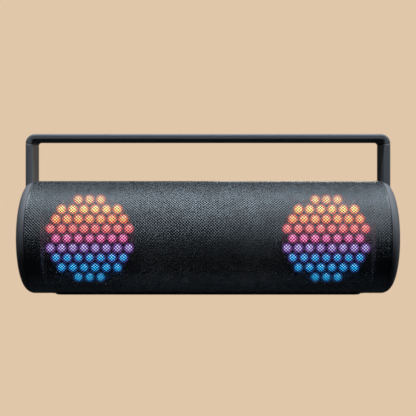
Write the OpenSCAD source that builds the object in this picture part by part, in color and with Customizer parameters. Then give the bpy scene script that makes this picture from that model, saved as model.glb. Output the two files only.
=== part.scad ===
// Portable party speaker: a horizontal cylinder in a wrapped metal grille, with rounded end
// caps, a flat strap handle, two round light panels behind the grille, two full-range
// drivers, a sealed cabinet with a passive radiator in each end, a battery and its boards.
// Every part is drawn where it sits. X runs along the cylinder, -Y is the front, Z is up,
// and the foot pads stand on Z = 0. Sizes are in millimetres.

/* [Body] */
// Outer radius of the grille and of the end caps
body_r = 65; // [65:1:80]
// Distance from the middle of the speaker to each end face
half_length = 209.4; // [200:0.2:255]
// Radius of the rounded rim of an end cap
rim_r = 10; // [8:0.5:10.5]
// Gap that shows between the grille's edge and an end cap
shadow_gap = 0.7; // [0.4:0.1:1]
// Thickness of the grille sheet
grille_t = 1; // [0.8:0.1:1.2]
// Air gap between the grille and the cabinet
grille_gap = 1.2; // [1:0.1:1.6]
// Wall of the cabinet shell
shell_wall = 2.6; // [2.2:0.1:3]
// Distance from an end face in to the end of the cabinet
cabinet_inset = 21.4; // [20.6:0.2:24]
// How far the front baffle stands in front of the cylinder's axis
baffle_y = 22; // [21:0.5:23]
// Thickness of the front baffle
baffle_t = 4; // [3:0.5:4.5]

/* [Handle] */
// Height of the handle's top face above the cylinder's axis
handle_rise = 118.4; // [105:0.2:150]
// Thickness of the handle strap
strap_t = 7.6; // [6:0.1:8]
// Width of the handle strap from front to back
strap_w = 38; // [32:1:46]
// Radius that rounds the strap's long edges
strap_edge_r = 1.4; // [0.8:0.1:2]
// Distance from an end face to the outer face of a handle leg
leg_inset = 1; // [0.6:0.1:1.4]
// Inner corner radius of the handle bar
corner_r = 3.4; // [2:0.1:5]
// Gap of the seam between the bar and a leg
seam_gap = 0.4; // [0.2:0.1:0.8]
// Width of the tongue that holds a leg in its end cap
tongue_w = 26; // [20:1:28]

/* [Foot] */
// Length of a foot pad
pad_l = 44; // [36:1:48]
// Width of a foot pad
pad_w = 18; // [14:0.5:20]
// How far the foot pads stand out below the grille
foot_stand = 1.2; // [1:0.1:3]
// How far the pads stand out below the foot rail
pad_stand = 0.5; // [0.3:0.1:0.8]
// Half length of the foot rail
foot_half = 176; // [150:1:180]
// Width of the foot rail
foot_w = 30; // [24:1:36]

/* [Lights] */
// Distance between neighbouring light cells
cell_pitch = 12.45; // [12:0.05:12.5]
// Radius of the light cell's bore
cell_r = 3.95; // [3.5:0.05:4]
// Radius of the sound holes between the cells
sound_r = 2.3; // [1.8:0.1:2.5]
// Rim of the light panel outside its outermost cells
light_rim = 0.8; // [0.6:0.1:0.9]
// Thickness of the reflector plate
reflector_t = 4.4; // [3.6:0.2:5]
// Distance from the baffle to the back of the light board
light_stand = 11; // [10:0.2:11.4]

/* [Drivers] */
// Outer radius of the cone
cone_r = 37; // [32:0.5:37.2]
// Cone travel to each side of rest
cone_travel = 3; // [2:0.2:3.4]
// Radius of the voice coil former
coil_r = 13; // [12:0.2:14]
// Outer radius of the basket's flange
flange_r = 48.2; // [47:0.1:48.3]
// Windows between the basket's spokes
basket_windows = 6; // [4:1:8]
// Radius of the passive radiator's plate
passive_r = 36.2; // [32:0.2:36.4]
// Passive plate travel to each side of rest
passive_travel = 5; // [3:0.5:5.5]

/* [Controls] */
// Angle of the control panel behind the top line
panel_angle = 28; // [24:1:34]
// Half length of the control panel
panel_half = 80; // [76:1:90]
// Half width of the control panel
panel_half_w = 17; // [16:0.5:18]
// Distance between neighbouring buttons
button_pitch = 20; // [19:0.5:21]
// Radius of a button cap
button_r = 6.2; // [5:0.1:6.6]
// Radius of the play button cap
play_r = 7.6; // [6:0.1:8]
// Gap round a button cap in its hole
button_clear = 0.3; // [0.3:0.05:0.5]
// How far a button stands out of the panel
button_proud = 0.9; // [0.6:0.1:1.2]
// Button travel
button_travel = 0.8; // [0.4:0.1:0.9]

/* [Ports] */
// Half width of the port bay, outside its walls
bay_half_w = 37; // [36.6:0.2:40]
// Half height of the port bay, outside its walls
bay_half_h = 14; // [13.6:0.1:15]
// Wall of the port bay
bay_wall = 2.4; // [2:0.1:2.6]
// Depth of the port bay from the grille's surface to its floor
bay_depth = 15; // [14:0.5:16]
// Thickness of the port door
door_t = 2.2; // [1.8:0.1:2.6]
// Gap round the port door
door_clear = 0.4; // [0.3:0.1:0.6]
// Radius of the door's hinge pin
pin_r = 0.75; // [0.6:0.05:0.8]
// Radial clearance between the hinge pin and the door
pin_clear = 0.05; // [0.02:0.01:0.1]
// Bore radius of the 3.5 mm audio jack
aux_r = 1.8; // [1.75:0.01:1.9]
// Bore radius of the 6.35 mm microphone jack
mic_r = 3.25; // [3.2:0.01:3.4]

/* [Power] */
// Radius of a battery cell
battery_r = 9.15; // [8.8:0.05:9.3]
// Length of a battery cell
battery_l = 65; // [60:0.5:66]

/* [Fasteners] */
// Shank radius of the screws
screw_r = 1.4; // [1.2:0.05:1.5]
// Head radius of the screws
head_r = 2.4; // [2:0.1:2.5]
// Head height of the screws
head_h = 1.9; // [1.6:0.1:2.2]
// Clearance round a screw's shank
screw_clear = 0.1; // [0.05:0.05:0.2]

/* [Hidden] */
$fn = 64;
eps = 0.01;
seat = 0.3;                      // gap kept between moving pieces and their neighbours
far = 2 * body_r;                // longer than any cut has to reach

axis_z = body_r + foot_stand;
shoulder = half_length - rim_r;
grille_half = shoulder - shadow_gap;
shell_r = body_r - grille_t - grille_gap;
shell_in = shell_r - shell_wall;
shell_half = half_length - cabinet_inset;
end_ring = 6.2;                  // length of the round end of the cabinet
recess_half = shell_half - end_ring;
recess_wall = 2;
flange_t = 2.6;                  // flange that closes each end of the cabinet shell

// Front baffle, its gasket and its ledge
baffle_fit = 0.4;
baffle_half_h = sqrt(pow(shell_in, 2) - pow(baffle_y, 2)) - baffle_fit;
gasket_t = 0.7;
ledge_t = 4;
ledge_w = 6;
baffle_screw_z = baffle_half_h - 3;
baffle_screws_per_row = 7;
baffle_screw_pitch = (recess_half - 13) / 3;
rib_pitch = 16;
rib_end = 10;
rib_h = 5;

// Light panels and drivers share one axis each
light_rows = 4;
row_step = cell_pitch * sqrt(3) / 2;
outermost_cell = cell_pitch * sqrt(13);
light_r = outermost_cell + cell_r + light_rim;
light_edge = 0.4;
driver_x = recess_half - light_edge - light_r;
board_t = 1.6;
ear_ring_r = light_r + 2.8;
ear_r = 3.8;
ear_angles = [50, 130, 230, 310];
lens_fit = 0.05;
lens_proud = 1.2;
emitter_w = 3.4;
emitter_t = 1;

// Driver sections, measured forward from the baffle's front face
skirt_r = cone_r + 1.6;
skirt_out_r = skirt_r + 2.4;
skirt_depth = 6;
flange_t_front = 1.8;
roll_t = 0.8;
spider_z = -20;
ledge_r = 26.5;
basket_floor = -25;
plate_r = 30;
magnet_r = 32;
pole_r = coil_r - 1.4;
gap_r = coil_r + 1;
driver_screw_r = flange_r - 2;
roll_r = (driver_screw_r - head_r - 0.1 - cone_r - seat) / 2;
driver_screw_count = 6;
motor_back = -49;

// End caps and passive radiators, measured along X
cap_open_r = body_r - rim_r - 2.5;
cap_wall = 2;
lip_t = 2.6;
passive_frame_t = 3;
passive_roll_r = 4.45;
weight_r = 16;
weight_t = 9;
surround_in_r = passive_r + 0.4;
surround_out_r = surround_in_r + 2 * passive_roll_r;
lip_in_r = surround_out_r + 1.3;
cap_screw_r = lip_in_r + head_r + 0.5;
cap_screw_count = 6;
lip_x = shell_half + passive_frame_t;
spigot_gap = 0.4;
channel_end = shoulder + 1.1;
rim_wall = 2.6;
rim_hollow_angle = 150;          // to each side of the lowest point; the tongue stands in the rest
head_seat = 3;                   // depth of the flat seats under the handle screws' heads

// Foot
pad_sunk = 1.5;                  // depth of a pad's pocket in the rail
pad_fit = 0.1;

// Handle
leg_out = half_length - leg_inset;
leg_in = leg_out - strap_t;
bar_low = handle_rise - strap_t - corner_r;
tongue_t = 3.8;
tongue_fit = 0.15;
handle_screw_y = 8;

// Control panel, measured outward along its own radial direction
panel_under = body_r - 4.5;
skirt_low = body_r - 8.4;
panel_wall = 2.4;
panel_fit = 0.3;
tray_floor = body_r - 13;
tray_wall = 2.4;
panel_corner_r = 6;
board_z = body_r - 11;
board_half = panel_half - 4;
board_half_w = panel_half_w - 3.6;
switch_h = 0.5;
button_flange_t = 1.2;
button_flange_top = panel_under - seat;
stem_low = board_z + board_t + switch_h + button_travel + seat;
stem_r = 2.5;
post_r = 2.2;
post_x = 1.5 * button_pitch;
post_y = 9.6;
status_count = 5;
status_pitch = 4;
status_y = 11.8;
status_r = 0.8;

// Port bay and door, measured to the rear from the axis
bay_floor = body_r - bay_depth;
bay_back = bay_floor - 2;
bay_in_w = bay_half_w - bay_wall;
bay_in_h = bay_half_h - bay_wall;
bay_corner_r = 4;
door_relief = bay_wall - 0.8;      // cut in the lower wall that the open door swings into
door_out_r = body_r - 0.2;
door_in_r = door_out_r - door_t;
hinge_r = 1.7;
hinge_z = -(bay_in_h - hinge_r - seat);
hinge_y = sqrt(pow(door_out_r - hinge_r - 0.1, 2) - pow(hinge_z, 2));
door_half_w = bay_in_w - door_clear;
door_top = bay_in_h - door_clear;
socket_front = bay_floor + 0.3;
port_board_z = -6.6;
port_board_half = bay_half_w - 3;
port_board_y = 22;
header_pitch = 14;
board_top = port_board_z + board_t;
usb = [-23, 14.4, 6.8];          // each socket's place along X, width and height
charge = [-6, 9.2, 3.4];
aux = [8, 6.4, 6];
mic = [23, 12, 10.8];
aux_depth = 14;
mic_depth = 27;
usb_depth = 17;
charge_depth = 10.3;
socket_fit = 0.15;

// Battery and main board, measured from the cylinder's axis
battery_rows = [-2, 18, 38];
battery_z = -33;
battery_fit = 0.2;
cell_gap = 2;
holder_half = battery_l + cell_gap / 2 + 7;
holder_low = -56;
main_board_z = -20.2;
main_board_y = [-12, 44];
main_board_half = holder_half - 1;
main_top = main_board_z + board_t;
chip_w = 12;
chip_h = 1.5;
can_x = -6;
can_r = 4;
can_h = 10;
can_pitch = 12;
coil_h = 5;
plug_w = 10;
plug_pitch = 16;
fins = 9;
fin_t = 1.4;
sink_x = -40;
sink_y = -4;
sink_w = 41.4;
sink_l = 24;
sink_base = 2.4;
sink_h = 12;
module_x = 44;
module_y = -6;
module_w = 22;
module_l = 20;

// ---- Frames and shared shapes ----

// The cylinder's axis, with the children's Z along X
module along_axis() {
  translate([0, 0, axis_z]) rotate([0, 90, 0]) children();
}

// One end of the cylinder: side is 1 for the right end and -1 for the left
module at_end(side) {
  if (side > 0) along_axis() children();
  else mirror([1, 0, 0]) along_axis() children();
}

// A driver's and a light panel's own frame, with Z to the front and 0 at the baffle's face
module at_driver(side) {
  translate([side * driver_x, -baffle_y, axis_z]) rotate([90, 0, 0]) children();
}

// The control panel's frame, with Z outward from the cylinder's axis
module at_panel() {
  translate([0, 0, axis_z]) rotate([-panel_angle, 0, 0]) children();
}

// The cylinder's axis without a turn
module at_axis() {
  translate([0, 0, axis_z]) children();
}

// A round bar along X, centred on the origin
module bar_x(r, half) {
  rotate([0, 90, 0]) cylinder(r = r, h = 2 * half, center = true);
}

// A rectangle with round corners, centred
module round_rect(w, h, r) {
  square([w - 2 * r, h], center = true);
  square([w, h - 2 * r], center = true);
  for (x = [-1, 1], y = [-1, 1])
    translate([x * (w / 2 - r), y * (h / 2 - r)]) circle(r = r);
}

// A box from one corner to the other
module span(low, high) {
  translate(low) cube(high - low);
}

// A screw whose head seats on Z = 0 and whose shank runs to -length
module screw(length) {
  difference() {
    union() {
      cylinder(r = head_r, h = head_h);
      translate([0, 0, -length]) cylinder(r = screw_r, h = length + eps);
    }
    translate([0, 0, head_h - 1]) cylinder(r = head_r * 0.5, h = 2, $fn = 6);
  }
}

// A hole for a screw's shank, through z
module screw_hole(low, high) {
  translate([0, 0, low]) cylinder(r = screw_r + screw_clear, h = high - low);
}

// Children copied round a circle
module around(count, r) {
  for (i = [0:count - 1]) rotate([0, 0, i * 360 / count]) translate([r, 0, 0]) children();
}

// ---- Grille and end caps ----

module grille() {
  color("#3a3f45") difference() {
    at_axis() difference() {
      bar_x(body_r, grille_half);
      bar_x(body_r - grille_t, grille_half + 1);
    }
    at_panel() linear_extrude(far)
      round_rect(2 * (panel_half + panel_fit), 2 * (panel_half_w + panel_fit), panel_corner_r);
    at_axis() rotate([-90, 0, 0]) linear_extrude(far)
      round_rect(2 * (bay_half_w + panel_fit), 2 * (bay_half_h + panel_fit), bay_corner_r);
    translate([0, 0, -1]) linear_extrude(foot_stand + 8)
      round_rect(2 * (foot_half + panel_fit), foot_w + 2 * panel_fit, foot_w / 3);
  }
}

// Outline of the rounded rim, as radius against X, grown by extra
module rim_outline(extra) {
  translate([0, shoulder - 20]) square([body_r + extra, 20]);
  translate([0, shoulder]) square([body_r - rim_r, rim_r + extra]);
  translate([body_r - rim_r, shoulder]) intersection() {
    circle(r = rim_r + extra);
    square(rim_r + extra);
  }
}

// Section of an end cap: rounded rim, hollow channel behind it, spigot and screw lip
module end_cap_section() {
  difference() {
    union() {
      intersection() {
        rim_outline(0);
        translate([cap_open_r, shoulder]) square([rim_r + 10, rim_r + 1]);
      }
      translate([shell_r - 2, lip_x]) square([1.9, shoulder - lip_x + eps]);
      translate([cap_open_r, lip_x]) square([cap_wall, shoulder - lip_x + eps]);
      translate([lip_in_r, lip_x]) square([cap_open_r + cap_wall - lip_in_r, lip_t]);
    }
    translate([cap_open_r + cap_wall, lip_x + lip_t])
      square([shell_r - 2 - cap_open_r - cap_wall, channel_end - lip_x - lip_t]);
    translate([cap_open_r, half_length]) rotate(45) square(1.6, center = true);
  }
}

// Hollow inside the rim, which leaves an even wall behind the rounded face
module rim_hollow() {
  translate([body_r - rim_r, shoulder]) intersection() {
    circle(r = rim_r - rim_wall);
    square(rim_r - rim_wall);
  }
}

// Space that the handle's tongue takes in the end cap
module tongue(fit) {
  tongue_x = (leg_in + leg_out) / 2;
  tongue_low = body_r - rim_r - 1 - fit;
  span([tongue_x - tongue_t / 2 - fit, -tongue_w / 2 - fit, tongue_low],
       [tongue_x + tongue_t / 2 + fit, tongue_w / 2 + fit, body_r]);
}

// Axes of the two screws that hold a leg
module at_leg_screws() {
  for (y = [-1, 1])
    translate([(leg_in + leg_out) / 2, y * handle_screw_y, cap_open_r]) children();
}

module end_cap() {
  difference() {
    rotate([0, 90, 0]) rotate_extrude($fn = 96) end_cap_section();
    tongue(tongue_fit);
    at_leg_screws() screw_hole(-1, rim_r);
    at_leg_screws() translate([0, 0, -head_seat]) cylinder(r = head_r + seat, h = head_seat);
    rotate([0, 90, 0]) around(cap_screw_count, cap_screw_r)
      screw_hole(lip_x - 1, lip_x + lip_t + 1);
    rotate([0, 90, 0]) rotate([0, 0, -rim_hollow_angle])
      rotate_extrude(angle = 2 * rim_hollow_angle, $fn = 96) rim_hollow();
  }
}

module left_end_cap() {
  color("#2e3236") mirror([1, 0, 0]) at_axis() end_cap();
}

module right_end_cap() {
  color("#2e3236") at_axis() end_cap();
}

module end_cap_screws() {
  length = lip_t + passive_frame_t + flange_t;
  color("#b9bdc2") for (side = [-1, 1]) at_end(side) around(cap_screw_count, cap_screw_r)
    translate([0, 0, lip_x + lip_t]) screw(length);
}

// ---- Handle ----

// The strap's cross-section, thickness along X and width along Y
module strap_section() {
  round_rect(strap_t, strap_w, strap_edge_r);
}

// One leg, seated on the rounded rim and keyed into the end cap
module handle_leg() {
  difference() {
    union() {
      difference() {
        translate([(leg_in + leg_out) / 2, 0, body_r - rim_r - 8])
          linear_extrude(bar_low - seam_gap - (body_r - rim_r - 8)) strap_section();
        rotate([0, 90, 0]) rotate_extrude($fn = 96) rim_outline(0.05);
      }
      tongue(0);
    }
    at_leg_screws() screw_hole(-2, rim_r);
  }
}

module left_handle_leg() {
  color("#34393e") mirror([1, 0, 0]) at_axis() handle_leg();
}

module right_handle_leg() {
  color("#34393e") at_axis() handle_leg();
}

// The top bar with its rounded corners and short down-turned ends
module handle_bar() {
  reach = leg_in - corner_r;
  turn_z = handle_rise - strap_t - corner_r;
  color("#34393e") at_axis() {
    translate([-reach, 0, handle_rise - strap_t / 2]) rotate([0, 90, 0])
      linear_extrude(2 * reach) strap_section();
    for (side = [0, 1]) mirror([side, 0, 0]) translate([reach, 0, turn_z]) rotate([90, 0, 0])
      rotate_extrude(angle = 90, $fn = 96)
        translate([corner_r + strap_t / 2, 0]) strap_section();
  }
}

module handle_screws() {
  color("#b9bdc2") at_axis() for (side = [0, 1]) mirror([side, 0, 0]) at_leg_screws()
    rotate([180, 0, 0]) screw(rim_r - 2);
}

// ---- Foot ----

module pad_places() {
  for (x = [-1, 1], i = [1, 3]) translate([x * i * (foot_half - 32) / 3, 0, 0]) children();
}

module foot_rail() {
  color("#26292c") difference() {
    translate([0, 0, pad_stand]) linear_extrude(foot_stand + 8)
      round_rect(2 * foot_half, foot_w, foot_w / 3);
    at_axis() bar_x(shell_r, foot_half + 1, $fn = 160);
    pad_places() translate([0, 0, -1]) linear_extrude(pad_stand + pad_sunk + 1)
      round_rect(pad_l + 2 * pad_fit, pad_w + 2 * pad_fit, pad_w / 3);
  }
}

module foot_pads() {
  color("#1b1d1f") pad_places() linear_extrude(pad_stand + pad_sunk - pad_fit)
    round_rect(pad_l, pad_w, pad_w / 3);
}

// ---- Cabinet ----

// Space in front of the baffle that the round cabinet leaves open
module front_recess(half, y) {
  span([-half, -far, -far], [half, -y, far]);
}

module shell_body() {
  difference() {
    bar_x(shell_r, shell_half);
    bar_x(shell_in, shell_half - flange_t);
    bar_x(lip_in_r, shell_half + 1);
    front_recess(recess_half, baffle_y);
  }
}

// Walls that close the recess at each end
module recess_walls() {
  intersection() {
    bar_x(shell_in + eps, shell_half);
    for (x = [recess_half, -recess_half - recess_wall])
      span([x, -far, -far], [x + recess_wall, -baffle_y + baffle_t, far]);
  }
}

// Ledge inside the shell that the baffle screws down on
module baffle_ledge() {
  back = -baffle_y + baffle_t + gasket_t;
  low = baffle_half_h - ledge_w;
  intersection() {
    bar_x(shell_in + eps, recess_half + eps);
    union() {
      span([-half_length, back, low], [half_length, back + ledge_t, far]);
      span([-half_length, back, -far], [half_length, back + ledge_t, -low]);
    }
  }
}

// Tray that holds the control panel, as a block or as its hollow
module panel_tray(grow, floor_z) {
  translate([0, 0, floor_z]) linear_extrude(far)
    round_rect(2 * (panel_half + panel_fit + grow), 2 * (panel_half_w + panel_fit + grow),
               panel_corner_r);
}

module cabinet_shell() {
  color("#4a4e52") difference() {
    union() {
      at_axis() {
        shell_body();
        recess_walls();
        baffle_ledge();
      }
      intersection() {
        at_axis() bar_x(shell_r, recess_half);
        at_panel() panel_tray(tray_wall, tray_floor - tray_wall);
      }
    }
    at_panel() panel_tray(0, tray_floor);
    at_axis() rotate([-90, 0, 0]) translate([0, 0, bay_back - 4]) linear_extrude(far)
      round_rect(2 * (bay_half_w + socket_fit), 2 * (bay_half_h + socket_fit), bay_corner_r);
    at_baffle_screws() screw_hole(-baffle_t - gasket_t - ledge_t - 1, 1);
    for (side = [-1, 1]) at_end(side) around(cap_screw_count, cap_screw_r)
      screw_hole(shell_half - flange_t - 1, shell_half + 1);
  }
}

// Screw axes of the baffle, with Z to the front and 0 at the baffle's face
module at_baffle_screws() {
  half = (baffle_screws_per_row - 1) / 2;
  for (i = [-half:half], z = [-1, 1])
    translate([i * baffle_screw_pitch, -baffle_y, axis_z + z * baffle_screw_z])
      rotate([90, 0, 0]) children();
}

// Post axes of both light panels, in a driver's frame
module at_ears() {
  for (a = ear_angles) rotate([0, 0, a]) translate([ear_ring_r, 0, 0]) children();
}

module front_baffle() {
  color("#3d4145") difference() {
    union() {
      translate([0, -baffle_y + baffle_t, axis_z]) rotate([90, 0, 0]) linear_extrude(baffle_t)
        round_rect(2 * (recess_half - baffle_fit), 2 * baffle_half_h, 5);
      for (side = [-1, 1]) at_driver(side) at_ears() cylinder(r = 2.6, h = light_stand);
      translate([0, -baffle_y + eps, axis_z]) rotate([90, 0, 0]) for (i = [-2:2])
        translate([i * rib_pitch - 1, rib_end - baffle_half_h, 0])
          cube([2, 2 * (baffle_half_h - rib_end), rib_h]);
    }
    for (side = [-1, 1]) at_driver(side) {
      translate([0, 0, -baffle_t - 1]) cylinder(r = skirt_out_r + baffle_fit, h = baffle_t + 2);
      around(driver_screw_count, driver_screw_r) screw_hole(-baffle_t - 1, 1);
      at_ears() screw_hole(light_stand - 8, light_stand + 1);
    }
    at_baffle_screws() screw_hole(-baffle_t - 1, 1);
  }
}

module baffle_gasket() {
  color("#151617") difference() {
    translate([0, -baffle_y + baffle_t + gasket_t, axis_z]) rotate([90, 0, 0])
      linear_extrude(gasket_t) difference() {
        round_rect(2 * (recess_half - baffle_fit), 2 * baffle_half_h, 5);
        round_rect(2 * (recess_half - baffle_fit - 4), 2 * (baffle_half_h - ledge_w), 4);
      }
    at_baffle_screws() screw_hole(-baffle_t - gasket_t - 1, 1);
  }
}

module baffle_screws() {
  color("#b9bdc2") at_baffle_screws() screw(baffle_t + gasket_t + ledge_t);
}

// ---- Drivers ----

// Basket: flange, skirt, sloping wall and floor in one revolved section
module basket_section() {
  polygon([
    [skirt_r, flange_t_front], [flange_r, flange_t_front], [flange_r, 0], [skirt_out_r, 0],
    [skirt_out_r, -skirt_depth], [plate_r + 1.5, spider_z - 2], [plate_r + 1.5, basket_floor - 2],
    [gap_r + 0.6, basket_floor - 2], [gap_r + 0.6, basket_floor], [ledge_r, basket_floor],
    [ledge_r, spider_z - 0.5], [plate_r - 0.6, spider_z - 0.5], [skirt_r, -skirt_depth]
  ]);
}

// One window of the basket, between two spokes
module basket_window() {
  turn = 360 / basket_windows;
  spoke = 14;
  rotate([0, 0, spoke / 2]) rotate_extrude(angle = turn - spoke, $fn = 96)
    polygon([[plate_r - 0.4, spider_z + 1], [skirt_out_r + 1, spider_z + 1],
             [skirt_out_r + 1, -skirt_depth - 1.5], [plate_r - 0.4, -skirt_depth - 1.5]]);
}

module driver_basket() {
  difference() {
    rotate_extrude($fn = 96) basket_section();
    for (i = [0:basket_windows - 1]) rotate([0, 0, i * 360 / basket_windows]) basket_window();
    for (i = [0:basket_windows - 1]) rotate([0, 0, (i + 0.5) * 360 / basket_windows])
      translate([(gap_r + ledge_r) / 2 + 0.5, 0, basket_floor - 3]) cylinder(r = 3.4, h = 4);
    around(driver_screw_count, driver_screw_r) screw_hole(-1, flange_t_front + 1);
  }
}

// Motor: top plate, ring magnet and back plate with its pole, leaving the coil's gap
module motor_section() {
  plate_top = basket_floor - 2;
  polygon([
    [0, plate_top + 0.5], [pole_r - 1, plate_top + 0.5], [pole_r, plate_top - 0.5],
    [pole_r, motor_back + 5], [magnet_r - 14, motor_back + 5], [magnet_r - 14, plate_top - 5],
    [gap_r, plate_top - 5], [gap_r, plate_top], [plate_r, plate_top], [plate_r, plate_top - 5],
    [magnet_r - 0.6, plate_top - 5], [magnet_r, plate_top - 5.6], [magnet_r, motor_back + 5.6],
    [magnet_r - 0.6, motor_back + 5], [plate_r, motor_back + 5], [plate_r, motor_back + 1],
    [plate_r - 1, motor_back], [0, motor_back]
  ]);
}

// Cone, dust cap and coil former, which travel together
module cone_section() {
  front = -0.4;
  neck = -13;
  former_low = basket_floor - 12;
  polygon([
    [cone_r, front], [cone_r, front - 1.2], [coil_r + 0.4, neck - 1.2], [coil_r + 0.4, former_low],
    [coil_r - 0.6, former_low], [coil_r - 0.6, neck + 0.6], [cone_r - 1.6, front]
  ]);
}

module driver_cone() {
  cap_r = coil_r + 2;
  cap_base = -12.2;
  ball = 18;
  drop = sqrt(pow(ball, 2) - pow(cap_r, 2));
  rotate_extrude($fn = 96) {
    cone_section();
    translate([0, cap_base - drop]) intersection() {
      difference() {
        circle(r = ball);
        circle(r = ball - 1);
      }
      translate([0, drop - 0.2]) square([cap_r, ball]);
    }
  }
}

// Half-round roll of rubber between an inner and an outer radius, with a flat lip outside
module roll_section(in_r, r, t, lip) {
  translate([in_r + r, 0]) intersection() {
    difference() {
      circle(r = r);
      circle(r = r - t);
    }
    translate([-r, 0]) square([2 * r, r]);
  }
  translate([in_r + 2 * r - t, 0]) square([lip + t, t]);
}

module driver_surround() {
  translate([0, 0, flange_t_front]) rotate_extrude($fn = 96)
    roll_section(cone_r + seat, roll_r, roll_t, 0);
}

// Corrugated spider, a wave carried round the coil
module driver_spider() {
  in_r = coil_r + 0.4 + seat;
  out_r = plate_r - 1.4;
  waves = 4;
  steps = 8 * waves;
  step = (out_r - in_r) / steps;
  rise = 0.7;
  function wave(i) = rise * sin(360 * waves * i / steps);
  top = [for (i = [0:steps]) [in_r + i * step, wave(i) + 0.25]];
  low = [for (i = [steps:-1:0]) [in_r + i * step, wave(i) - 0.25]];
  translate([0, 0, spider_z + 0.75]) rotate_extrude($fn = 96) intersection() {
    polygon(concat(top, low));
    translate([0, -5]) square([out_r, 10]);
  }
}

module left_driver_basket() {
  color("#5a5d60") at_driver(-1) driver_basket();
}

module right_driver_basket() {
  color("#5a5d60") at_driver(1) driver_basket();
}

module left_driver_motor() {
  color("#8a8d90") at_driver(-1) rotate_extrude($fn = 96) motor_section();
}

module right_driver_motor() {
  color("#8a8d90") at_driver(1) rotate_extrude($fn = 96) motor_section();
}

module left_driver_cone() {
  color("#1d1e20") at_driver(-1) driver_cone();
}

module right_driver_cone() {
  color("#1d1e20") at_driver(1) driver_cone();
}

module left_driver_surround() {
  color("#111213") at_driver(-1) driver_surround();
}

module right_driver_surround() {
  color("#111213") at_driver(1) driver_surround();
}

module left_driver_spider() {
  color("#b98a3a") at_driver(-1) driver_spider();
}

module right_driver_spider() {
  color("#b98a3a") at_driver(1) driver_spider();
}

module driver_screws() {
  color("#b9bdc2") for (side = [-1, 1]) at_driver(side)
    around(driver_screw_count, driver_screw_r)
      translate([0, 0, flange_t_front]) screw(flange_t_front + baffle_t);
}

// ---- Light panels ----

// Centres of the light cells: every point of a hexagonal lattice out to the outermost cell
cells = [
  for (j = [-light_rows:light_rows], i = [-light_rows - 1:light_rows + 1])
    let (x = (i + (abs(j) % 2) / 2) * cell_pitch, y = j * row_step)
      if (norm([x, y]) < outermost_cell + eps) [x, y]
];

// Centres of the triangles between cells, where the sound passes
sound_holes = [
  for (j = [-light_rows - 1:light_rows + 1], i = [-light_rows - 2:light_rows + 2], up = [-1, 1])
    let (x = (i + (abs(j) % 2) / 2) * cell_pitch, y = j * row_step + up * row_step * 2 / 3)
      if (norm([x, y]) < light_r - sound_r - 1.2) [x, y]
];

// Outline of a light panel with its four ears and its sound holes
module panel_outline() {
  difference() {
    union() {
      circle(r = light_r, $fn = 96);
      for (a = ear_angles) rotate(a) {
        translate([ear_ring_r, 0]) circle(r = ear_r);
        translate([ear_ring_r - 8, -ear_r]) square([8, 2 * ear_r]);
      }
    }
    for (p = sound_holes) translate(p) circle(r = sound_r);
    for (a = ear_angles) rotate(a) translate([ear_ring_r, 0]) circle(r = screw_r + screw_clear);
  }
}

// Circuit board with one emitter behind each cell
module light_board() {
  translate([0, 0, light_stand]) {
    linear_extrude(board_t) panel_outline();
    for (p = cells) translate([p[0] - emitter_w / 2, p[1] - emitter_w / 2, board_t - eps])
      cube([emitter_w, emitter_w, emitter_t + eps]);
  }
}

// Reflector plate: a bore round each emitter and a sound hole between each three bores
module light_reflector() {
  translate([0, 0, light_stand + board_t]) linear_extrude(reflector_t) difference() {
    panel_outline();
    for (p = cells) translate(p) circle(r = cell_r);
  }
}

// Frosted lens that plugs a cell, with a domed front
module cell_lens() {
  r = cell_r - lens_fit;
  ball = (pow(r, 2) + pow(lens_proud, 2)) / (2 * lens_proud);
  rotate_extrude() {
    translate([0, -2]) square([r, 2]);
    intersection() {
      translate([0, lens_proud - ball]) circle(r = ball, $fn = 96);
      square([r, lens_proud]);
    }
  }
}

module light_lenses() {
  for (p = cells) translate([p[0], p[1], light_stand + board_t + reflector_t]) cell_lens();
}

module left_light_board() {
  color("#e8e8e0") at_driver(-1) light_board();
}

module right_light_board() {
  color("#e8e8e0") at_driver(1) light_board();
}

module left_light_reflector() {
  color("#2a2c30") at_driver(-1) light_reflector();
}

module right_light_reflector() {
  color("#2a2c30") at_driver(1) light_reflector();
}

module left_light_lenses() {
  color("#f29a5c") at_driver(-1) light_lenses();
}

module right_light_lenses() {
  color("#f29a5c") at_driver(1) light_lenses();
}

module light_screws() {
  color("#b9bdc2") for (side = [-1, 1]) at_driver(side) at_ears()
    translate([0, 0, light_stand + board_t + reflector_t]) screw(board_t + reflector_t + 6);
}

// ---- Passive radiators ----

module passive_frame() {
  difference() {
    translate([0, 0, shell_half]) difference() {
      cylinder(r = shell_in - baffle_fit, h = passive_frame_t, $fn = 96);
      translate([0, 0, -1]) cylinder(r = surround_out_r, h = passive_frame_t + 2, $fn = 96);
    }
    around(cap_screw_count, cap_screw_r) screw_hole(shell_half - 1, lip_x + 1);
  }
}

module passive_surround() {
  translate([0, 0, lip_x]) rotate_extrude($fn = 96)
    roll_section(surround_in_r, passive_roll_r, 0.8, 1.1);
}

// Dished plate with a round weight on its back
module passive_plate() {
  face = lip_x + 1.4;
  rotate_extrude($fn = 96) polygon([
    [0, face - 1], [14, face - 1], [17, face - 2.2], [28, face - 1.6], [passive_r - 2, face + 0.6],
    [passive_r, face], [passive_r, face - 2.2], [passive_r - 1, face - 2.8],
    [weight_r + 0.5, face - 3.2], [weight_r, face - 4], [weight_r, face - weight_t + 1],
    [weight_r - 1, face - weight_t], [0, face - weight_t]
  ]);
}

module left_passive_frame() {
  color("#3d4145") at_end(-1) passive_frame();
}

module right_passive_frame() {
  color("#3d4145") at_end(1) passive_frame();
}

module left_passive_surround() {
  color("#111213") at_end(-1) passive_surround();
}

module right_passive_surround() {
  color("#111213") at_end(1) passive_surround();
}

module left_passive_plate() {
  color("#24272a") at_end(-1) passive_plate();
}

module right_passive_plate() {
  color("#24272a") at_end(1) passive_plate();
}

// ---- Controls ----

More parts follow.
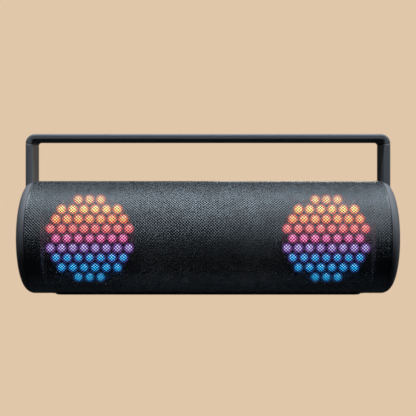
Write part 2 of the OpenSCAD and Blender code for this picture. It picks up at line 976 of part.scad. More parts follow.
// Place of a button along the panel: 0 is the middle one
module at_button(i) {
  at_panel() translate([i * button_pitch, 0, 0]) children();
}

// Posts that join the panel to its board
module at_panel_posts() {
  for (x = [-1, 1], y = [-1, 1]) translate([x * post_x, y * post_y, 0]) children();
}

module at_status() {
  half = (status_count - 1) / 2;
  for (i = [-half:half]) translate([i * status_pitch, status_y, 0]) children();
}

function cap_r(i) = i == 0 ? play_r : button_r;

module control_panel() {
  color("#26292c") at_panel() difference() {
    union() {
      intersection() {
        bar_x(body_r, panel_half + 1);
        translate([0, 0, skirt_low]) linear_extrude(far)
          round_rect(2 * panel_half, 2 * panel_half_w, panel_corner_r);
      }
      at_panel_posts() translate([0, 0, board_z + board_t])
        cylinder(r = post_r, h = panel_under - board_z - board_t + 1);
    }
    difference() {
      translate([0, 0, skirt_low - 1]) linear_extrude(panel_under - skirt_low + 1)
        round_rect(2 * (panel_half - panel_wall), 2 * (panel_half_w - panel_wall), 4);
      at_panel_posts() cylinder(r = post_r, h = far);
    }
    for (i = [-3:3]) translate([i * button_pitch, 0, panel_under - 1])
      cylinder(r = cap_r(i) + button_clear, h = far);
    at_status() cylinder(r = status_r + 0.05, h = far);
  }
}

module control_board() {
  color("#1f4a35") at_panel() {
    translate([0, 0, board_z]) linear_extrude(board_t)
      round_rect(2 * board_half, 2 * board_half_w, 3);
    for (i = [-3:3]) translate([i * button_pitch - 3, -3, board_z + board_t - 0.1])
      cube([6, 6, switch_h + 0.1]);
    at_status() translate([-0.8, -0.8, board_z + board_t - 0.1]) cube([1.6, 1.6, 0.5]);
    for (x = [-1, 1], y = [-1, 1])
      translate([x * (board_half - 4), y * (board_half_w - 4), tray_floor])
        cylinder(r = 2.5, h = board_z - tray_floor + eps);
  }
}

// Row of light guides joined by a bar under the panel
module status_light() {
  low = board_z + board_t + 0.6;
  half = (status_count - 1) / 2 * status_pitch + 1;
  color("#dfe6ea") at_panel() {
    intersection() {
      bar_x(body_r, panel_half);
      at_status() translate([0, 0, low]) cylinder(r = status_r, h = far);
    }
    span([-half, status_y - 1, low + 1], [half, status_y + 1, low + 2.2]);
  }
}

// One button: domed cap, retaining flange under the panel and a stem down to its switch
module button(i) {
  r = cap_r(i);
  at_button(i) {
    intersection() {
      translate([-i * button_pitch, 0, 0]) bar_x(body_r + button_proud, far);
      translate([0, 0, button_flange_top - eps]) cylinder(r = r, h = far);
    }
    translate([0, 0, button_flange_top - button_flange_t])
      cylinder(r = r + 1.2, h = button_flange_t);
    translate([0, 0, stem_low])
      cylinder(r = stem_r, h = button_flange_top - stem_low - 0.5);
  }
}

module power_button() {
  color("#33383d") button(-3);
}

module pairing_button() {
  color("#33383d") button(-2);
}

module volume_down_button() {
  color("#33383d") button(-1);
}

module play_button() {
  color("#33383d") button(0);
}

module volume_up_button() {
  color("#33383d") button(1);
}

module light_button() {
  color("#33383d") button(2);
}

module party_link_button() {
  color("#33383d") button(3);
}

// ---- Ports ----

module port_bay() {
  color("#26292c") difference() {
    union() {
      at_axis() intersection() {
        bar_x(body_r, bay_half_w + 1);
        translate([0, bay_back, 0]) rotate([-90, 0, 0]) linear_extrude(far)
          round_rect(2 * bay_half_w, 2 * bay_half_h, bay_corner_r);
      }
      at_axis() for (x = [-port_board_half - 2, port_board_half - 1])
        span([x, port_board_y + 6, port_board_z - 3], [x + 3, bay_back + eps, port_board_z]);
    }
    at_axis() span([-bay_in_w, bay_floor, -bay_in_h], [bay_in_w, far, bay_in_h]);
    at_axis() span([-bay_in_w, hinge_y - 0.5, -bay_in_h - door_relief], [bay_in_w, far, 0]);
    at_axis() for (s = [usb, charge, aux, mic]) socket_cut(s);
    at_axis() translate([0, hinge_y, hinge_z]) bar_x(pin_r, bay_in_w + 1.4);
  }
}

// Block of one socket from a place along Y, grown all round
module socket_block(s, from_y, to_y, grow) {
  span([s[0] - s[1] / 2 - grow, from_y, board_top - grow],
       [s[0] + s[1] / 2 + grow, to_y, board_top + s[2] + grow]);
}

// Hole for one socket through the bay's floor
module socket_cut(s) {
  socket_block(s, bay_back - 1, bay_floor + 1, socket_fit);
}

// Curved flap, hinged on its lower edge, with a finger rib near its top
module port_door() {
  color("#1b1d1f") at_axis() difference() {
    union() {
      intersection() {
        difference() {
          bar_x(door_out_r, door_half_w);
          bar_x(door_in_r, door_half_w + 1);
        }
        span([-door_half_w, 0, hinge_z], [door_half_w, far, door_top]);
      }
      translate([0, hinge_y, hinge_z]) bar_x(hinge_r, door_half_w);
      span([-10, door_in_r - 3.4, door_top - 4], [10, body_r - 0.3, door_top - 2.4]);
    }
    translate([0, hinge_y, hinge_z]) bar_x(pin_r + pin_clear, door_half_w + 1);
  }
}

module door_pin() {
  color("#b9bdc2") at_axis() translate([0, hinge_y, hinge_z]) bar_x(pin_r, bay_in_w + 1.2);
}

module port_board() {
  pin_y = port_board_y - 1;
  color("#1f4a35") at_axis() {
    span([-port_board_half, port_board_y, port_board_z],
         [port_board_half, bay_back - 0.5, board_top]);
    for (i = [-2:2]) translate([i * header_pitch - 2, pin_y, port_board_z - 2])
      cube([4, 5, 2 + eps]);
  }
}

// Host socket and charging socket, each a folded shell with its tongue
module usb_sockets() {
  usb_back = socket_front - usb_depth;
  charge_back = socket_front - charge_depth;
  usb_wall = 0.8;
  charge_wall = 0.35;
  color("#c3c7cb") at_axis() {
    difference() {
      socket_block(usb, usb_back, socket_front, 0);
      translate([0, 0, usb_wall]) span([usb[0] - usb[1] / 2 + usb_wall, usb_back + 2, board_top],
        [usb[0] + usb[1] / 2 - usb_wall, far, board_top + usb[2] - 2 * usb_wall]);
    }
    span([usb[0] - 5.6, usb_back + 1, board_top + usb[2] / 2],
         [usb[0] + 5.6, socket_front - 1, board_top + usb[2] / 2 + 1.8]);
    translate([charge[0], charge_back, board_top + charge[2] / 2]) rotate([-90, 0, 0])
      difference() {
        linear_extrude(charge_depth) round_rect(charge[1], charge[2], 1.6);
        translate([0, 0, 1.5]) linear_extrude(far)
          round_rect(charge[1] - 2 * charge_wall, charge[2] - 2 * charge_wall, 1.3);
      }
    span([charge[0] - 3.3, charge_back + 1, board_top + charge[2] / 2 - charge_wall],
         [charge[0] + 3.3, socket_front - 1, board_top + charge[2] / 2 + charge_wall]);
  }
}

// Round jack: a block on the board with a blind bore of radius r
module jack(s, depth, r) {
  difference() {
    socket_block(s, socket_front - depth - 1, socket_front, 0);
    translate([s[0], socket_front - depth, board_top + s[2] / 2]) rotate([-90, 0, 0])
      cylinder(r = r, h = depth + 1);
  }
}

module aux_jack() {
  color("#2b2d30") at_axis() jack(aux, aux_depth, aux_r);
}

module mic_jack() {
  color("#2b2d30") at_axis() jack(mic, mic_depth, mic_r);
}

// ---- Power and boards ----

module at_battery_rows() {
  for (side = [-1, 1], y = battery_rows)
    translate([side * (battery_l + cell_gap) / 2, y, battery_z]) children();
}

module battery_cells() {
  color("#3f6f9f") at_axis() at_battery_rows() rotate([0, 90, 0]) {
    translate([0, 0, -battery_l / 2]) cylinder(r = battery_r, h = battery_l - 0.8);
    translate([0, 0, battery_l / 2 - 0.9]) cylinder(r = 2.8, h = 0.9);
  }
}

// Cradle with one trough for each row of cells and posts for the main board
module battery_holder() {
  post_inset = 3.5;
  color("#2b2d30") at_axis() difference() {
    union() {
      intersection() {
        bar_x(shell_in - baffle_fit, holder_half);
        span([-holder_half, battery_rows[0] - battery_r - 1.2, holder_low],
             [holder_half, battery_rows[2] + battery_r + 1.2, battery_z]);
      }
      for (x = [-1, 1], y = main_board_y)
        translate([x * (holder_half - post_inset), y - sign(y) * (post_inset + 0.5), battery_z - 6])
          cylinder(r = 2.6, h = main_board_z - battery_z + 6);
    }
    for (y = battery_rows) translate([0, y, battery_z])
      bar_x(battery_r + battery_fit, battery_l + cell_gap / 2 + battery_fit);
  }
}

// Amplifier and power board with its chips, inductors, capacitors and sockets
module main_board() {
  color("#1f4a35") at_axis() {
    span([-main_board_half, main_board_y[0], main_board_z],
         [main_board_half, main_board_y[1], main_top]);
    for (x = [-1, 1]) translate([sink_x + x * sink_w / 4, sink_y + sink_l / 2, main_top])
      span([-chip_w / 2, -chip_w / 2, -eps], [chip_w / 2, chip_w / 2, chip_h]);
    for (i = [0:3]) translate([can_x + i * can_pitch, 0, main_top - eps])
      cylinder(r = can_r, h = can_h);
    for (i = [0:3]) translate([can_x + i * can_pitch, can_pitch + 2, main_top])
      span([-can_r, -can_r, -eps], [can_r, can_r, coil_h]);
    for (i = [-4:3]) translate([(i + 0.25) * plug_pitch, main_board_y[1] - 7, main_top])
      span([-plug_w / 2, -3, -eps], [plug_w / 2, 3, coil_h]);
  }
}

// Finned heat sink on the amplifier chips
module heat_sink() {
  fin_pitch = (sink_w - fin_t) / (fins - 1);
  color("#9aa0a5") at_axis() translate([sink_x - sink_w / 2, sink_y, main_top + chip_h]) {
    cube([sink_w, sink_l, sink_base]);
    for (i = [0:fins - 1]) translate([i * fin_pitch, 0, 0]) cube([fin_t, sink_l, sink_h]);
  }
}

// Small radio board with a shield can and four antenna pads
module wireless_module() {
  color("#b9bdc2") at_axis() translate([module_x, module_y, main_top]) {
    cube([module_w, module_l, 0.8]);
    translate([2, 2, 0]) cube([module_w - 4, module_l - 8, 3]);
    for (i = [0:3]) translate([2 + i * (module_w - 6) / 3, module_l - 5, 0]) cube([2, 4, 1]);
  }
}

grille();
left_end_cap();
right_end_cap();
left_handle_leg();
right_handle_leg();
handle_bar();
handle_screws();
foot_rail();
foot_pads();
cabinet_shell();
front_baffle();
baffle_gasket();
baffle_screws();
left_driver_basket();
right_driver_basket();
left_driver_motor();
right_driver_motor();
left_driver_cone();
right_driver_cone();
left_driver_surround();
right_driver_surround();
left_driver_spider();
right_driver_spider();
driver_screws();
left_light_board();
right_light_board();
left_light_reflector();
right_light_reflector();
left_light_lenses();
right_light_lenses();
light_screws();
left_passive_frame();
right_passive_frame();
left_passive_surround();
right_passive_surround();
left_passive_plate();
right_passive_plate();
end_cap_screws();
control_panel();
control_board();
status_light();
power_button();
pairing_button();
volume_down_button();
play_button();
volume_up_button();
light_button();
party_link_button();
port_bay();
port_door();
door_pin();
port_board();
usb_sockets();
aux_jack();
mic_jack();
battery_cells();
battery_holder();
main_board();
heat_sink();
wireless_module();
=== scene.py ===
"""Visual model of a portable party speaker: perforated grille, end caps, strap handle, light
panels, controls, ports, passive radiators and the parts inside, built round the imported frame.

Lengths are metres in the frame of the CAD model: X along the cylinder, -Y to the front, Z up.
"""

import logging
import math
from dataclasses import dataclass
from enum import Enum
from typing import Iterable, Sequence

import bmesh
import bpy
import numpy as np
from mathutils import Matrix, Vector

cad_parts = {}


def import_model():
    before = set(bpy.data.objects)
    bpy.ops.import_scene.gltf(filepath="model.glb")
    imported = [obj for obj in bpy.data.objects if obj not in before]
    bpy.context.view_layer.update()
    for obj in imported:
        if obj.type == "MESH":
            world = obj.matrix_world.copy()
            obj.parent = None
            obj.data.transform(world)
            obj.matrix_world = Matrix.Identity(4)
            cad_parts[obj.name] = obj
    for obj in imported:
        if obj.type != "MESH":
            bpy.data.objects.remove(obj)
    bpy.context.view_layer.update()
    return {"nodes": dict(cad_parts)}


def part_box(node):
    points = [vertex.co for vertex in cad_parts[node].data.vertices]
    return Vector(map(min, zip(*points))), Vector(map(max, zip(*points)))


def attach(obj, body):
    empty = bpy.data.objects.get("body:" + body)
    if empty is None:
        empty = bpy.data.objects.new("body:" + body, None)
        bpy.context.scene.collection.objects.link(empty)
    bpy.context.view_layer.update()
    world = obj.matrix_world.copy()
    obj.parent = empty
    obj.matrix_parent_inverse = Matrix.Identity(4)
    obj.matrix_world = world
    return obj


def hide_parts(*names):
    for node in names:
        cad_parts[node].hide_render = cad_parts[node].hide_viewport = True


Array = np.ndarray
Part = tuple[Array, list[Array]]
Colour = tuple[float, float, float]
Outline = tuple[tuple[float, float], ...]
Socket = bpy.types.NodeSocket

MM = 0.001
PANEL_ANGLE = 28.0
FOOT_CORNER = 10 * MM
ROOT = "speaker"
log = logging.getLogger("speaker")


class Side(Enum):
    """The two ends of the cylinder, with the sign of X."""

    LEFT = -1
    RIGHT = 1

    def name_of(self, node: str) -> str:
        """Gives the CAD node's full name on this side."""
        return f"{self.name.lower()}_{node}"


class Grain(Enum):
    """Kinds of surface detail."""

    MOULDED = "moulded plastic"
    ROLLED = "rolled metal"
    CAST = "pressed or cast metal"
    RUBBER = "dull rubber"
    PAPER = "pressed paper"
    CLOTH = "woven cloth"
    BOARD = "printed circuit board"


class Mark(Enum):
    """Raised marks on the buttons."""

    POWER = "broken ring with a bar"
    PAIRING = "three waves"
    MINUS = "minus"
    PLAY = "triangle with two bars"
    PLUS = "plus"
    LIGHT = "small sun"
    LINK = "two rings"


# ---- Finishes ----


def linear(colour: Colour) -> tuple[float, float, float, float]:
    """Turns a display colour of 0 to 255 into scene values.

    Args:
        colour: red, green and blue as shown on a display.

    Returns:
        Linear red, green, blue and an alpha of 1.
    """
    c = np.asarray(colour, float) / 255
    low, high = c / 12.92, ((c + 0.055) / 1.055) ** 2.4
    return (*np.where(c <= 0.04045, low, high).tolist(), 1.0)


class Nodes:
    """A small helper that adds shader nodes and links them."""

    def __init__(self, name: str) -> None:
        """Makes an empty node material.

        Args:
            name: the material's name.
        """
        self.material = bpy.data.materials.new(name)
        self.material.use_nodes = True
        self.tree = self.material.node_tree
        self.tree.nodes.clear()
        self.coordinates = self.add("ShaderNodeTexCoord").outputs["Object"]

    def add(self, kind: str, links: dict | None = None, **values: object) -> bpy.types.Node:
        """Adds one node.

        Args:
            kind: the node's type.
            links: input name or index to an output socket.
            values: properties, or inputs by name with spaces written as underscores.

        Returns:
            The node.
        """
        node = self.tree.nodes.new(kind)
        for key, value in values.items():
            if hasattr(node, key):
                setattr(node, key, value)
            else:
                node.inputs[key.replace("_", " ")].default_value = value
        for key, socket in (links or {}).items():
            self.tree.links.new(socket, node.inputs[key])
        return node

    def noise(self, scale: float, stretch: Colour = (1, 1, 1), detail: float = 3) -> Socket:
        """Adds a noise over the object.

        Args:
            scale: how fine the noise is.
            stretch: how much finer it is along each axis.
            detail: how many finer layers it has.

        Returns:
            The value socket.
        """
        place = self.add("ShaderNodeMapping", {"Vector": self.coordinates}, Scale=stretch)
        links = {"Vector": place.outputs[0]}
        return self.add("ShaderNodeTexNoise", links, Scale=scale, Detail=detail).outputs[0]

    def range(self, value: Socket, low: float, high: float, start: float = 0.3,
              end: float = 0.7) -> Socket:
        """Maps a value from start..end to low..high.

        Args:
            value: the socket to map.
            low: what start becomes.
            high: what end becomes.
            start: one end of the value's span.
            end: the other end of the value's span.

        Returns:
            The result's socket.
        """
        node = self.add("ShaderNodeMapRange", {0: value})
        for index, number in zip(range(1, 5), (start, end, low, high)):
            node.inputs[index].default_value = number
        return node.outputs[0]

    def product(self, first: Socket, second: Socket) -> Socket:
        """Multiplies two values and gives the result's socket."""
        return self.add("ShaderNodeMath", {0: first, 1: second}, operation="MULTIPLY").outputs[0]

    def ramp(self, value: Socket, stops: Sequence[tuple[float, Colour]],
             interpolation: str = "LINEAR") -> Socket:
        """Colours a value by its stops and gives the colour socket.

        Args:
            value: the socket that picks the colour.
            stops: places from 0 to 1, each with a display colour.
            interpolation: how the ramp goes from one stop to the next.

        Returns:
            The colour socket.
        """
        node = self.add("ShaderNodeValToRGB", {0: value})
        ramp = node.color_ramp
        ramp.interpolation = interpolation
        while len(ramp.elements) < len(stops):
            ramp.elements.new(1.0)
        for element, (place, colour) in zip(ramp.elements, stops):
            element.position = place
            element.color = linear(colour)
        return node.outputs[0]

    def finish(self, shader: Socket) -> bpy.types.Material:
        """Ends the material with this shader and gives it."""
        self.add("ShaderNodeOutputMaterial", {"Surface": shader})
        return self.material


@dataclass(frozen=True)
class Drift:
    """How every finish drifts over a piece: the scales, and how far each value goes."""

    tone_scale: float = 45.0
    tone_stops: tuple[float, float] = (0.3, 0.7)
    rough_scale: float = 120.0
    rough: tuple[float, float] = (0.88, 1.1)
    coat_rough: float = 0.15
    bump: float = 0.6


DRIFT = Drift()


@dataclass(frozen=True)
class Finish:
    """One procedural surface: a base colour that drifts, a roughness that drifts and a grain."""

    name: str
    colour: Colour
    roughness: float
    grain: Grain = Grain.MOULDED
    metallic: float = 0.0
    drift: float = 0.12
    scale: float = 900.0
    depth: float = 0.00003
    coat: float = 0.0
    specular: float = 0.5

    def material(self) -> bpy.types.Material:
        """Gives the finish's material, made once."""
        return bpy.data.materials.get(self.name) or self._build()

    def _heights(self, nodes: Nodes) -> tuple[Socket, Socket]:
        """Adds the grain's pattern.

        Args:
            nodes: the material to add it to.

        Returns:
            The sockets of the grain's share of the tones and of its height.
        """
        wide = nodes.noise(DRIFT.tone_scale)
        if self.grain is Grain.ROLLED:
            return wide, nodes.noise(self.scale, (0.05, 1, 1), 2)
        if self.grain is Grain.CLOTH:
            across = nodes.add("ShaderNodeTexWave", {"Vector": nodes.coordinates},
                               Scale=self.scale, bands_direction="X")
            along = nodes.add("ShaderNodeTexWave", {"Vector": nodes.coordinates},
                              Scale=self.scale, bands_direction="Z")
            weave = nodes.product(across.outputs[1], along.outputs[1])
            return weave, weave
        if self.grain is Grain.PAPER:
            fibre = nodes.noise(self.scale, (1, 0.3, 1), 6)
            return fibre, fibre
        if self.grain is Grain.BOARD:
            tracks = nodes.add("ShaderNodeTexBrick", {"Vector": nodes.coordinates},
                               Scale=self.scale).outputs["Fac"]
            return tracks, tracks
        if self.grain is Grain.MOULDED:
            dots = nodes.add("ShaderNodeTexVoronoi", {"Vector": nodes.coordinates},
                             Scale=self.scale)
            return wide, dots.outputs["Distance"]
        return wide, nodes.noise(self.scale, (1, 1, 1), 5)

    def _build(self) -> bpy.types.Material:
        """Makes the material's nodes.

        Returns:
            The material.
        """
        nodes = Nodes(self.name)
        shader = nodes.add("ShaderNodeBsdfPrincipled")
        inputs = shader.inputs
        inputs["Base Color"].default_value = linear(self.colour)
        inputs["Metallic"].default_value = self.metallic
        inputs["Roughness"].default_value = self.roughness
        inputs["Coat Weight"].default_value = self.coat
        inputs["Coat Roughness"].default_value = DRIFT.coat_rough
        inputs["Specular IOR Level"].default_value = self.specular
        share, height = self._heights(nodes)
        dark = tuple(c * (1 - self.drift) for c in self.colour)
        light = tuple(min(255, c * (1 + self.drift)) for c in self.colour)
        link = nodes.tree.links.new
        tones = tuple(zip(DRIFT.tone_stops, (dark, light)))
        link(nodes.ramp(share, tones), inputs["Base Color"])
        rough = nodes.range(nodes.noise(DRIFT.rough_scale),
                            *(self.roughness * share for share in DRIFT.rough))
        link(rough, inputs["Roughness"])
        bump = nodes.add("ShaderNodeBump", {"Height": height}, Strength=DRIFT.bump,
                         Distance=self.depth)
        link(bump.outputs[0], inputs["Normal"])
        return nodes.finish(shader.outputs[0])


GRILLE = Finish("grille_paint", (71, 76, 79), 0.26, Grain.CAST, 0.9, drift=0.07, scale=1500,
                depth=0.00001)
HEM = Finish("grille_edge", (30, 33, 36), 0.42, Grain.ROLLED, metallic=0.2)
CAP = Finish("cap_plastic", (19, 21, 23), 0.22, scale=1600, depth=0.000006, drift=0.08,
             coat=0.4)
HANDLE = Finish("handle_plastic", (24, 27, 30), 0.17, scale=1700, depth=0.000005, drift=0.08,
                specular=1.0, coat=0.8)
DARK = Finish("moulded_black", (30, 32, 34), 0.5, scale=1500, depth=0.00002)
RUBBER = Finish("rubber_black", (20, 21, 22), 0.72, Grain.RUBBER, scale=1300, specular=0.35)
BUTTON = Finish("button_rubber", (46, 50, 54), 0.62, Grain.RUBBER, scale=1800, depth=0.00001)
MARK = Finish("mark_paint", (206, 210, 213), 0.5, Grain.RUBBER, drift=0.05)
CABINET = Finish("cabinet_plastic", (7, 7, 8), 0.8, scale=1100, specular=0.06)
BLACK_STEEL = Finish("blacked_steel", (9, 9, 10), 0.6, Grain.ROLLED, specular=0.2)
FOAM = Finish("gasket_foam", (22, 22, 23), 0.95, Grain.RUBBER, scale=2200, depth=0.0002)
STEEL = Finish("zinc_steel", (176, 179, 183), 0.32, Grain.ROLLED, 0.95, drift=0.06)
BASKET = Finish("basket_steel", (72, 74, 77), 0.48, Grain.CAST, 0.7, scale=600)
FERRITE = Finish("motor_ferrite", (92, 93, 95), 0.5, Grain.CAST, 0.5, scale=500, depth=0.0001)
PAPER = Finish("cone_paper", (30, 30, 32), 0.85, Grain.PAPER, scale=500, depth=0.0001)
CLOTH = Finish("spider_cloth", (171, 126, 58), 0.9, Grain.CLOTH, drift=0.2, scale=160)
BOARD_BLACK = Finish("board_black", (12, 13, 14), 0.5, Grain.BOARD, drift=0.3, scale=60)
BOARD_GREEN = Finish("board_green", (27, 72, 50), 0.35, Grain.BOARD, drift=0.25, scale=55)
BLACK_PLASTIC = Finish("jack_plastic", (34, 36, 38), 0.4, scale=1800, depth=0.00001)
PLATE = Finish("passive_plate", (34, 36, 39), 0.4, Grain.CAST, 0.3, scale=700, depth=0.00002)
GUIDE = Finish("light_guide", (206, 214, 219), 0.25, Grain.RUBBER, drift=0.03, coat=0.4)
WRAP = Finish("cell_wrap", (48, 104, 158), 0.3, Grain.RUBBER, drift=0.08, coat=0.3)
SINK = Finish("sink_aluminium", (158, 163, 168), 0.35, Grain.ROLLED, 0.9, drift=0.08)

# One display colour for each row of light cells, from the bottom row to the top row
ROW_COLOURS: tuple[Colour, ...] = (
    (8, 172, 238), (12, 168, 238), (30, 160, 228), (160, 140, 205), (225, 100, 160),
    (240, 105, 95), (250, 158, 62), (253, 198, 76), (250, 182, 66),
)

# Painted light: the same for the glow drawn on the plate round and between the cells, standing in
# for the light that the cells cast on it
PAINTED_SPILL_COLOURS: tuple[Colour, ...] = (
    (25, 70, 130), (30, 70, 135), (60, 60, 135), (105, 60, 135), (150, 50, 105),
    (185, 60, 80), (215, 85, 55), (225, 105, 50), (215, 95, 50),
)


@dataclass(frozen=True)
class RowLight:
    """A surface that gives light, with one colour for each row of cells along Z: the lenses, and
    the painted glow on the plate round them that stands in for the light they cast.

    Its fade is (strength at the start, strength at the end, start, end) along the attribute
    reach, and None gives the same strength everywhere.
    """

    name: str
    low: float
    high: float
    strength: float
    base: Colour
    roughness: float
    colours: tuple[Colour, ...] = ROW_COLOURS
    fade: tuple[float, float, float, float] | None = None
    waver: float = 0.08
    waver_scale: float = 400.0
    frost_scale: float = 1500.0
    frost_depth: float = 0.00002

    def material(self) -> bpy.types.Material:
        """Gives the material, made once."""
        return bpy.data.materials.get(self.name) or self._build()

    def _build(self) -> bpy.types.Material:
        """Makes the nodes: Z picks the row, the row picks the colour.

        Returns:
            The material.
        """
        nodes = Nodes(self.name)
        rows = len(self.colours)
        axes = nodes.add("ShaderNodeSeparateXYZ", {0: nodes.coordinates})
        place = nodes.range(axes.outputs[2], 0, 1, self.low, self.high)
        stops = [(i / rows, colour) for i, colour in enumerate(self.colours)]
        glow = nodes.ramp(place, stops, "CONSTANT")
        power = nodes.range(nodes.noise(self.waver_scale), self.strength * (1 - self.waver),
                            self.strength * (1 + self.waver))
        if self.fade:
            reach = nodes.add("ShaderNodeAttribute", attribute_name="reach").outputs["Fac"]
            power = nodes.product(power, nodes.range(reach, *self.fade))
        bump = nodes.add("ShaderNodeBump", {"Height": nodes.noise(self.frost_scale)},
                         Strength=0.4, Distance=self.frost_depth)
        links = {"Emission Color": glow, "Emission Strength": power, "Normal": bump.outputs[0]}
        shader = nodes.add("ShaderNodeBsdfPrincipled", links, Roughness=self.roughness)
        shader.inputs["Base Color"].default_value = linear(self.base)
        return nodes.finish(shader.outputs[0])


# ---- Shapes ----


def grid_faces(rows: int, cols: int, wrap_rows: bool, wrap_cols: bool) -> Array:
    """Quads of a grid of points numbered row * cols + col.

    Args:
        rows: rows of points.
        cols: points in a row.
        wrap_rows: joins the last row to the first.
        wrap_cols: joins the last point of a row to its first.

    Returns:
        Vertex numbers, four to a face.
    """
    i = np.arange(rows if wrap_rows else rows - 1)
    j = np.arange(cols if wrap_cols else cols - 1)
    a, b = np.meshgrid(i, j, indexing="ij")
    c, d = (a + 1) % rows, (b + 1) % cols
    return np.stack([a * cols + b, c * cols + b, c * cols + d, a * cols + d], -1).reshape(-1, 4)


def skin(points: Array, wrap_rows: bool = False, caps: bool = True) -> Part:
    """Closes a stack of loops into a solid skin.

    Args:
        points: rows x cols x 3, each row a closed loop.
        wrap_rows: joins the last loop to the first, as on a ring.
        caps: covers the first and last loop with one face each.

    Returns:
        The vertices and their faces.
    """
    rows, cols = points.shape[:2]
    faces = [grid_faces(rows, cols, wrap_rows, True)]
    if caps and not wrap_rows:
        ring = np.arange(cols)
        faces += [ring[None, ::-1], ring[None] + (rows - 1) * cols]
    return points.reshape(-1, 3), faces


def merge(parts: Iterable[Part]) -> Part:
    """Joins several meshes into one.

    Args:
        parts: meshes, each with face numbers from 0.

    Returns:
        One mesh, with the face numbers shifted past the vertices before them.
    """
    verts, faces, start = [], [], 0
    for points, sets in parts:
        verts.append(points)
        faces += [f + start for f in sets]
        start += len(points)
    return np.concatenate(verts), faces


def lathe_x(profile: Array, axis: float, side: Side, segments: int = 256) -> Array:
    """Turns a profile of (x, r) round the cylinder's axis.

    P(i, a) = (side * x_i, r_i sin a, axis + r_i cos a)

    Args:
        profile: points of (x, r).
        axis: height of the axis.
        side: the end it belongs to.
        segments: steps round the axis.

    Returns:
        Points as rows x segments x 3.
    """
    a = np.linspace(0, 2 * np.pi, segments, endpoint=False)
    x, r = profile[:, :1], profile[:, 1:]
    y, z = r * np.sin(a), axis + r * np.cos(a)
    return np.stack([side.value * x + 0 * y, y, z], -1)


def arc(centre: Sequence[float], radius: float, start: float, end: float, count: int) -> Array:
    """Points centre + radius (cos a, sin a) for a from start to end degrees."""
    a = np.radians(np.linspace(start, end, count))
    return np.stack([centre[0] + radius * np.cos(a), centre[1] + radius * np.sin(a)], -1)


@dataclass(frozen=True)
class RoundRect:
    """A rectangle with round corners, by its half sizes and its corner radius."""

    half_x: float
    half_y: float
    corner: float

    def loop(self, arc_steps: int = 9, side_steps: int = 24) -> tuple[Array, Array]:
        """Walks round the outline, counterclockwise.

        Args:
            arc_steps: points on each corner.
            side_steps: points on each straight side.

        Returns:
            Points (n, 2) and outward normals (n, 2).
        """
        points, normals = [], []
        flat = np.array([self.half_x - self.corner, self.half_y - self.corner])
        signs = ((1, 1), (-1, 1), (-1, -1), (1, -1))
        for k, (sx, sy) in enumerate(signs):
            a = np.radians(np.linspace(90 * k, 90 * k + 90, arc_steps))
            normal = np.stack([np.cos(a), np.sin(a)], -1)
            corner = flat * (sx, sy) + self.corner * normal
            after = flat * signs[(k + 1) % 4]
            share = np.linspace(0, 1, side_steps + 2)[1:-1, None]
            side = corner[-1] * (1 - share) + (after + self.corner * normal[-1]) * share
            points += [corner, side]
            normals += [normal, np.repeat(normal[-1:], side_steps, 0)]
        return np.concatenate(points), np.concatenate(normals)

    def distance(self, x: Array, y: Array) -> Array:
        """Measures from the outline: |max(q, 0)| + min(max(q), 0) - corner.

        Args:
            x: first coordinates, with q = |x| - (half - corner) along each axis.
            y: second coordinates.

        Returns:
            Distances, positive outside the outline.
        """
        qx = np.abs(x) - (self.half_x - self.corner)
        qy = np.abs(y) - (self.half_y - self.corner)
        outside = np.hypot(np.maximum(qx, 0), np.maximum(qy, 0))
        return outside + np.minimum(np.maximum(qx, qy), 0) - self.corner

    def grown(self, by: float) -> "RoundRect":
        """Gives the outline moved outward by that much."""
        return RoundRect(self.half_x + by, self.half_y + by, self.corner + by)


@dataclass(frozen=True)
class Placement:
    """A local frame: an origin and three axes, each as a row."""

    origin: Array
    axes: Array

    def put(self, points: Array) -> Array:
        """Gives origin + x X + y Y + z Z for every local point."""
        return self.origin + points @ self.axes


def make_piece(name: str, part: Part, smooth_below: float = 35.0,
               outward: bool = True) -> bpy.types.Object:
    """Makes a mesh object at the origin.

    Args:
        name: the piece's name.
        part: vertices and sets of faces.
        smooth_below: edges that turn less than this many degrees are shaded smooth.
        outward: turns every face to the outside of its closed shape.

    Returns:
        The object, linked to the scene.
    """
    verts, faces = part
    mesh = bpy.data.meshes.new(name)
    sizes = np.concatenate([np.full(len(f), f.shape[1]) for f in faces])
    loops = np.concatenate([f.ravel() for f in faces]).astype(np.int32)
    starts = np.concatenate([[0], np.cumsum(sizes)[:-1]]).astype(np.int32)
    mesh.vertices.add(len(verts))
    mesh.vertices.foreach_set("co", np.asarray(verts, np.float32).ravel())
    mesh.loops.add(len(loops))
    mesh.loops.foreach_set("vertex_index", loops)
    mesh.polygons.add(len(starts))
    mesh.polygons.foreach_set("loop_start", starts)
    mesh.update(calc_edges=True)
    if outward:
        work = bmesh.new()
        work.from_mesh(mesh)
        bmesh.ops.recalc_face_normals(work, faces=work.faces)
        work.to_mesh(mesh)
        work.free()
    if smooth_below > 0:
        mesh.polygons.foreach_set("use_smooth", np.ones(len(starts), bool))
        mesh.set_sharp_from_angle(angle=math.radians(smooth_below))
    piece = bpy.data.objects.new(name, mesh)
    bpy.context.scene.collection.objects.link(piece)
    return piece


def dress(piece: bpy.types.Object, finish: Finish | RowLight, body: str, slot: str,
          *nodes: str) -> bpy.types.Object:
    """Gives a piece its finish and its body.

    Args:
        piece: the piece's object.
        finish: what its surface is.
        body: the body that it rides on.
        slot: the material slot that it belongs to; not used.
        *nodes: the CAD nodes that it stands for.

    Returns:
        The piece.
    """
    piece.data.materials.clear()
    piece.data.materials.append(finish.material())
    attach(piece, body)
    if nodes:
        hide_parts(*nodes)
    log.info("%s: %d faces on %s", piece.name, len(piece.data.polygons), body)
    return piece


@dataclass(frozen=True)
class Frame:
    """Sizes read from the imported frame."""

    axis: float
    radius: float
    half: float
    grille_half: float

    @classmethod
    def read(cls) -> "Frame":
        """Reads the cylinder from the boxes of an end cap and the grille.

        Returns:
            The sizes.
        """
        low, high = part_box("right_end_cap")
        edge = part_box("grille")[1].x
        return cls((low.z + high.z) / 2, (high.z - low.z) / 2, high.x, edge)


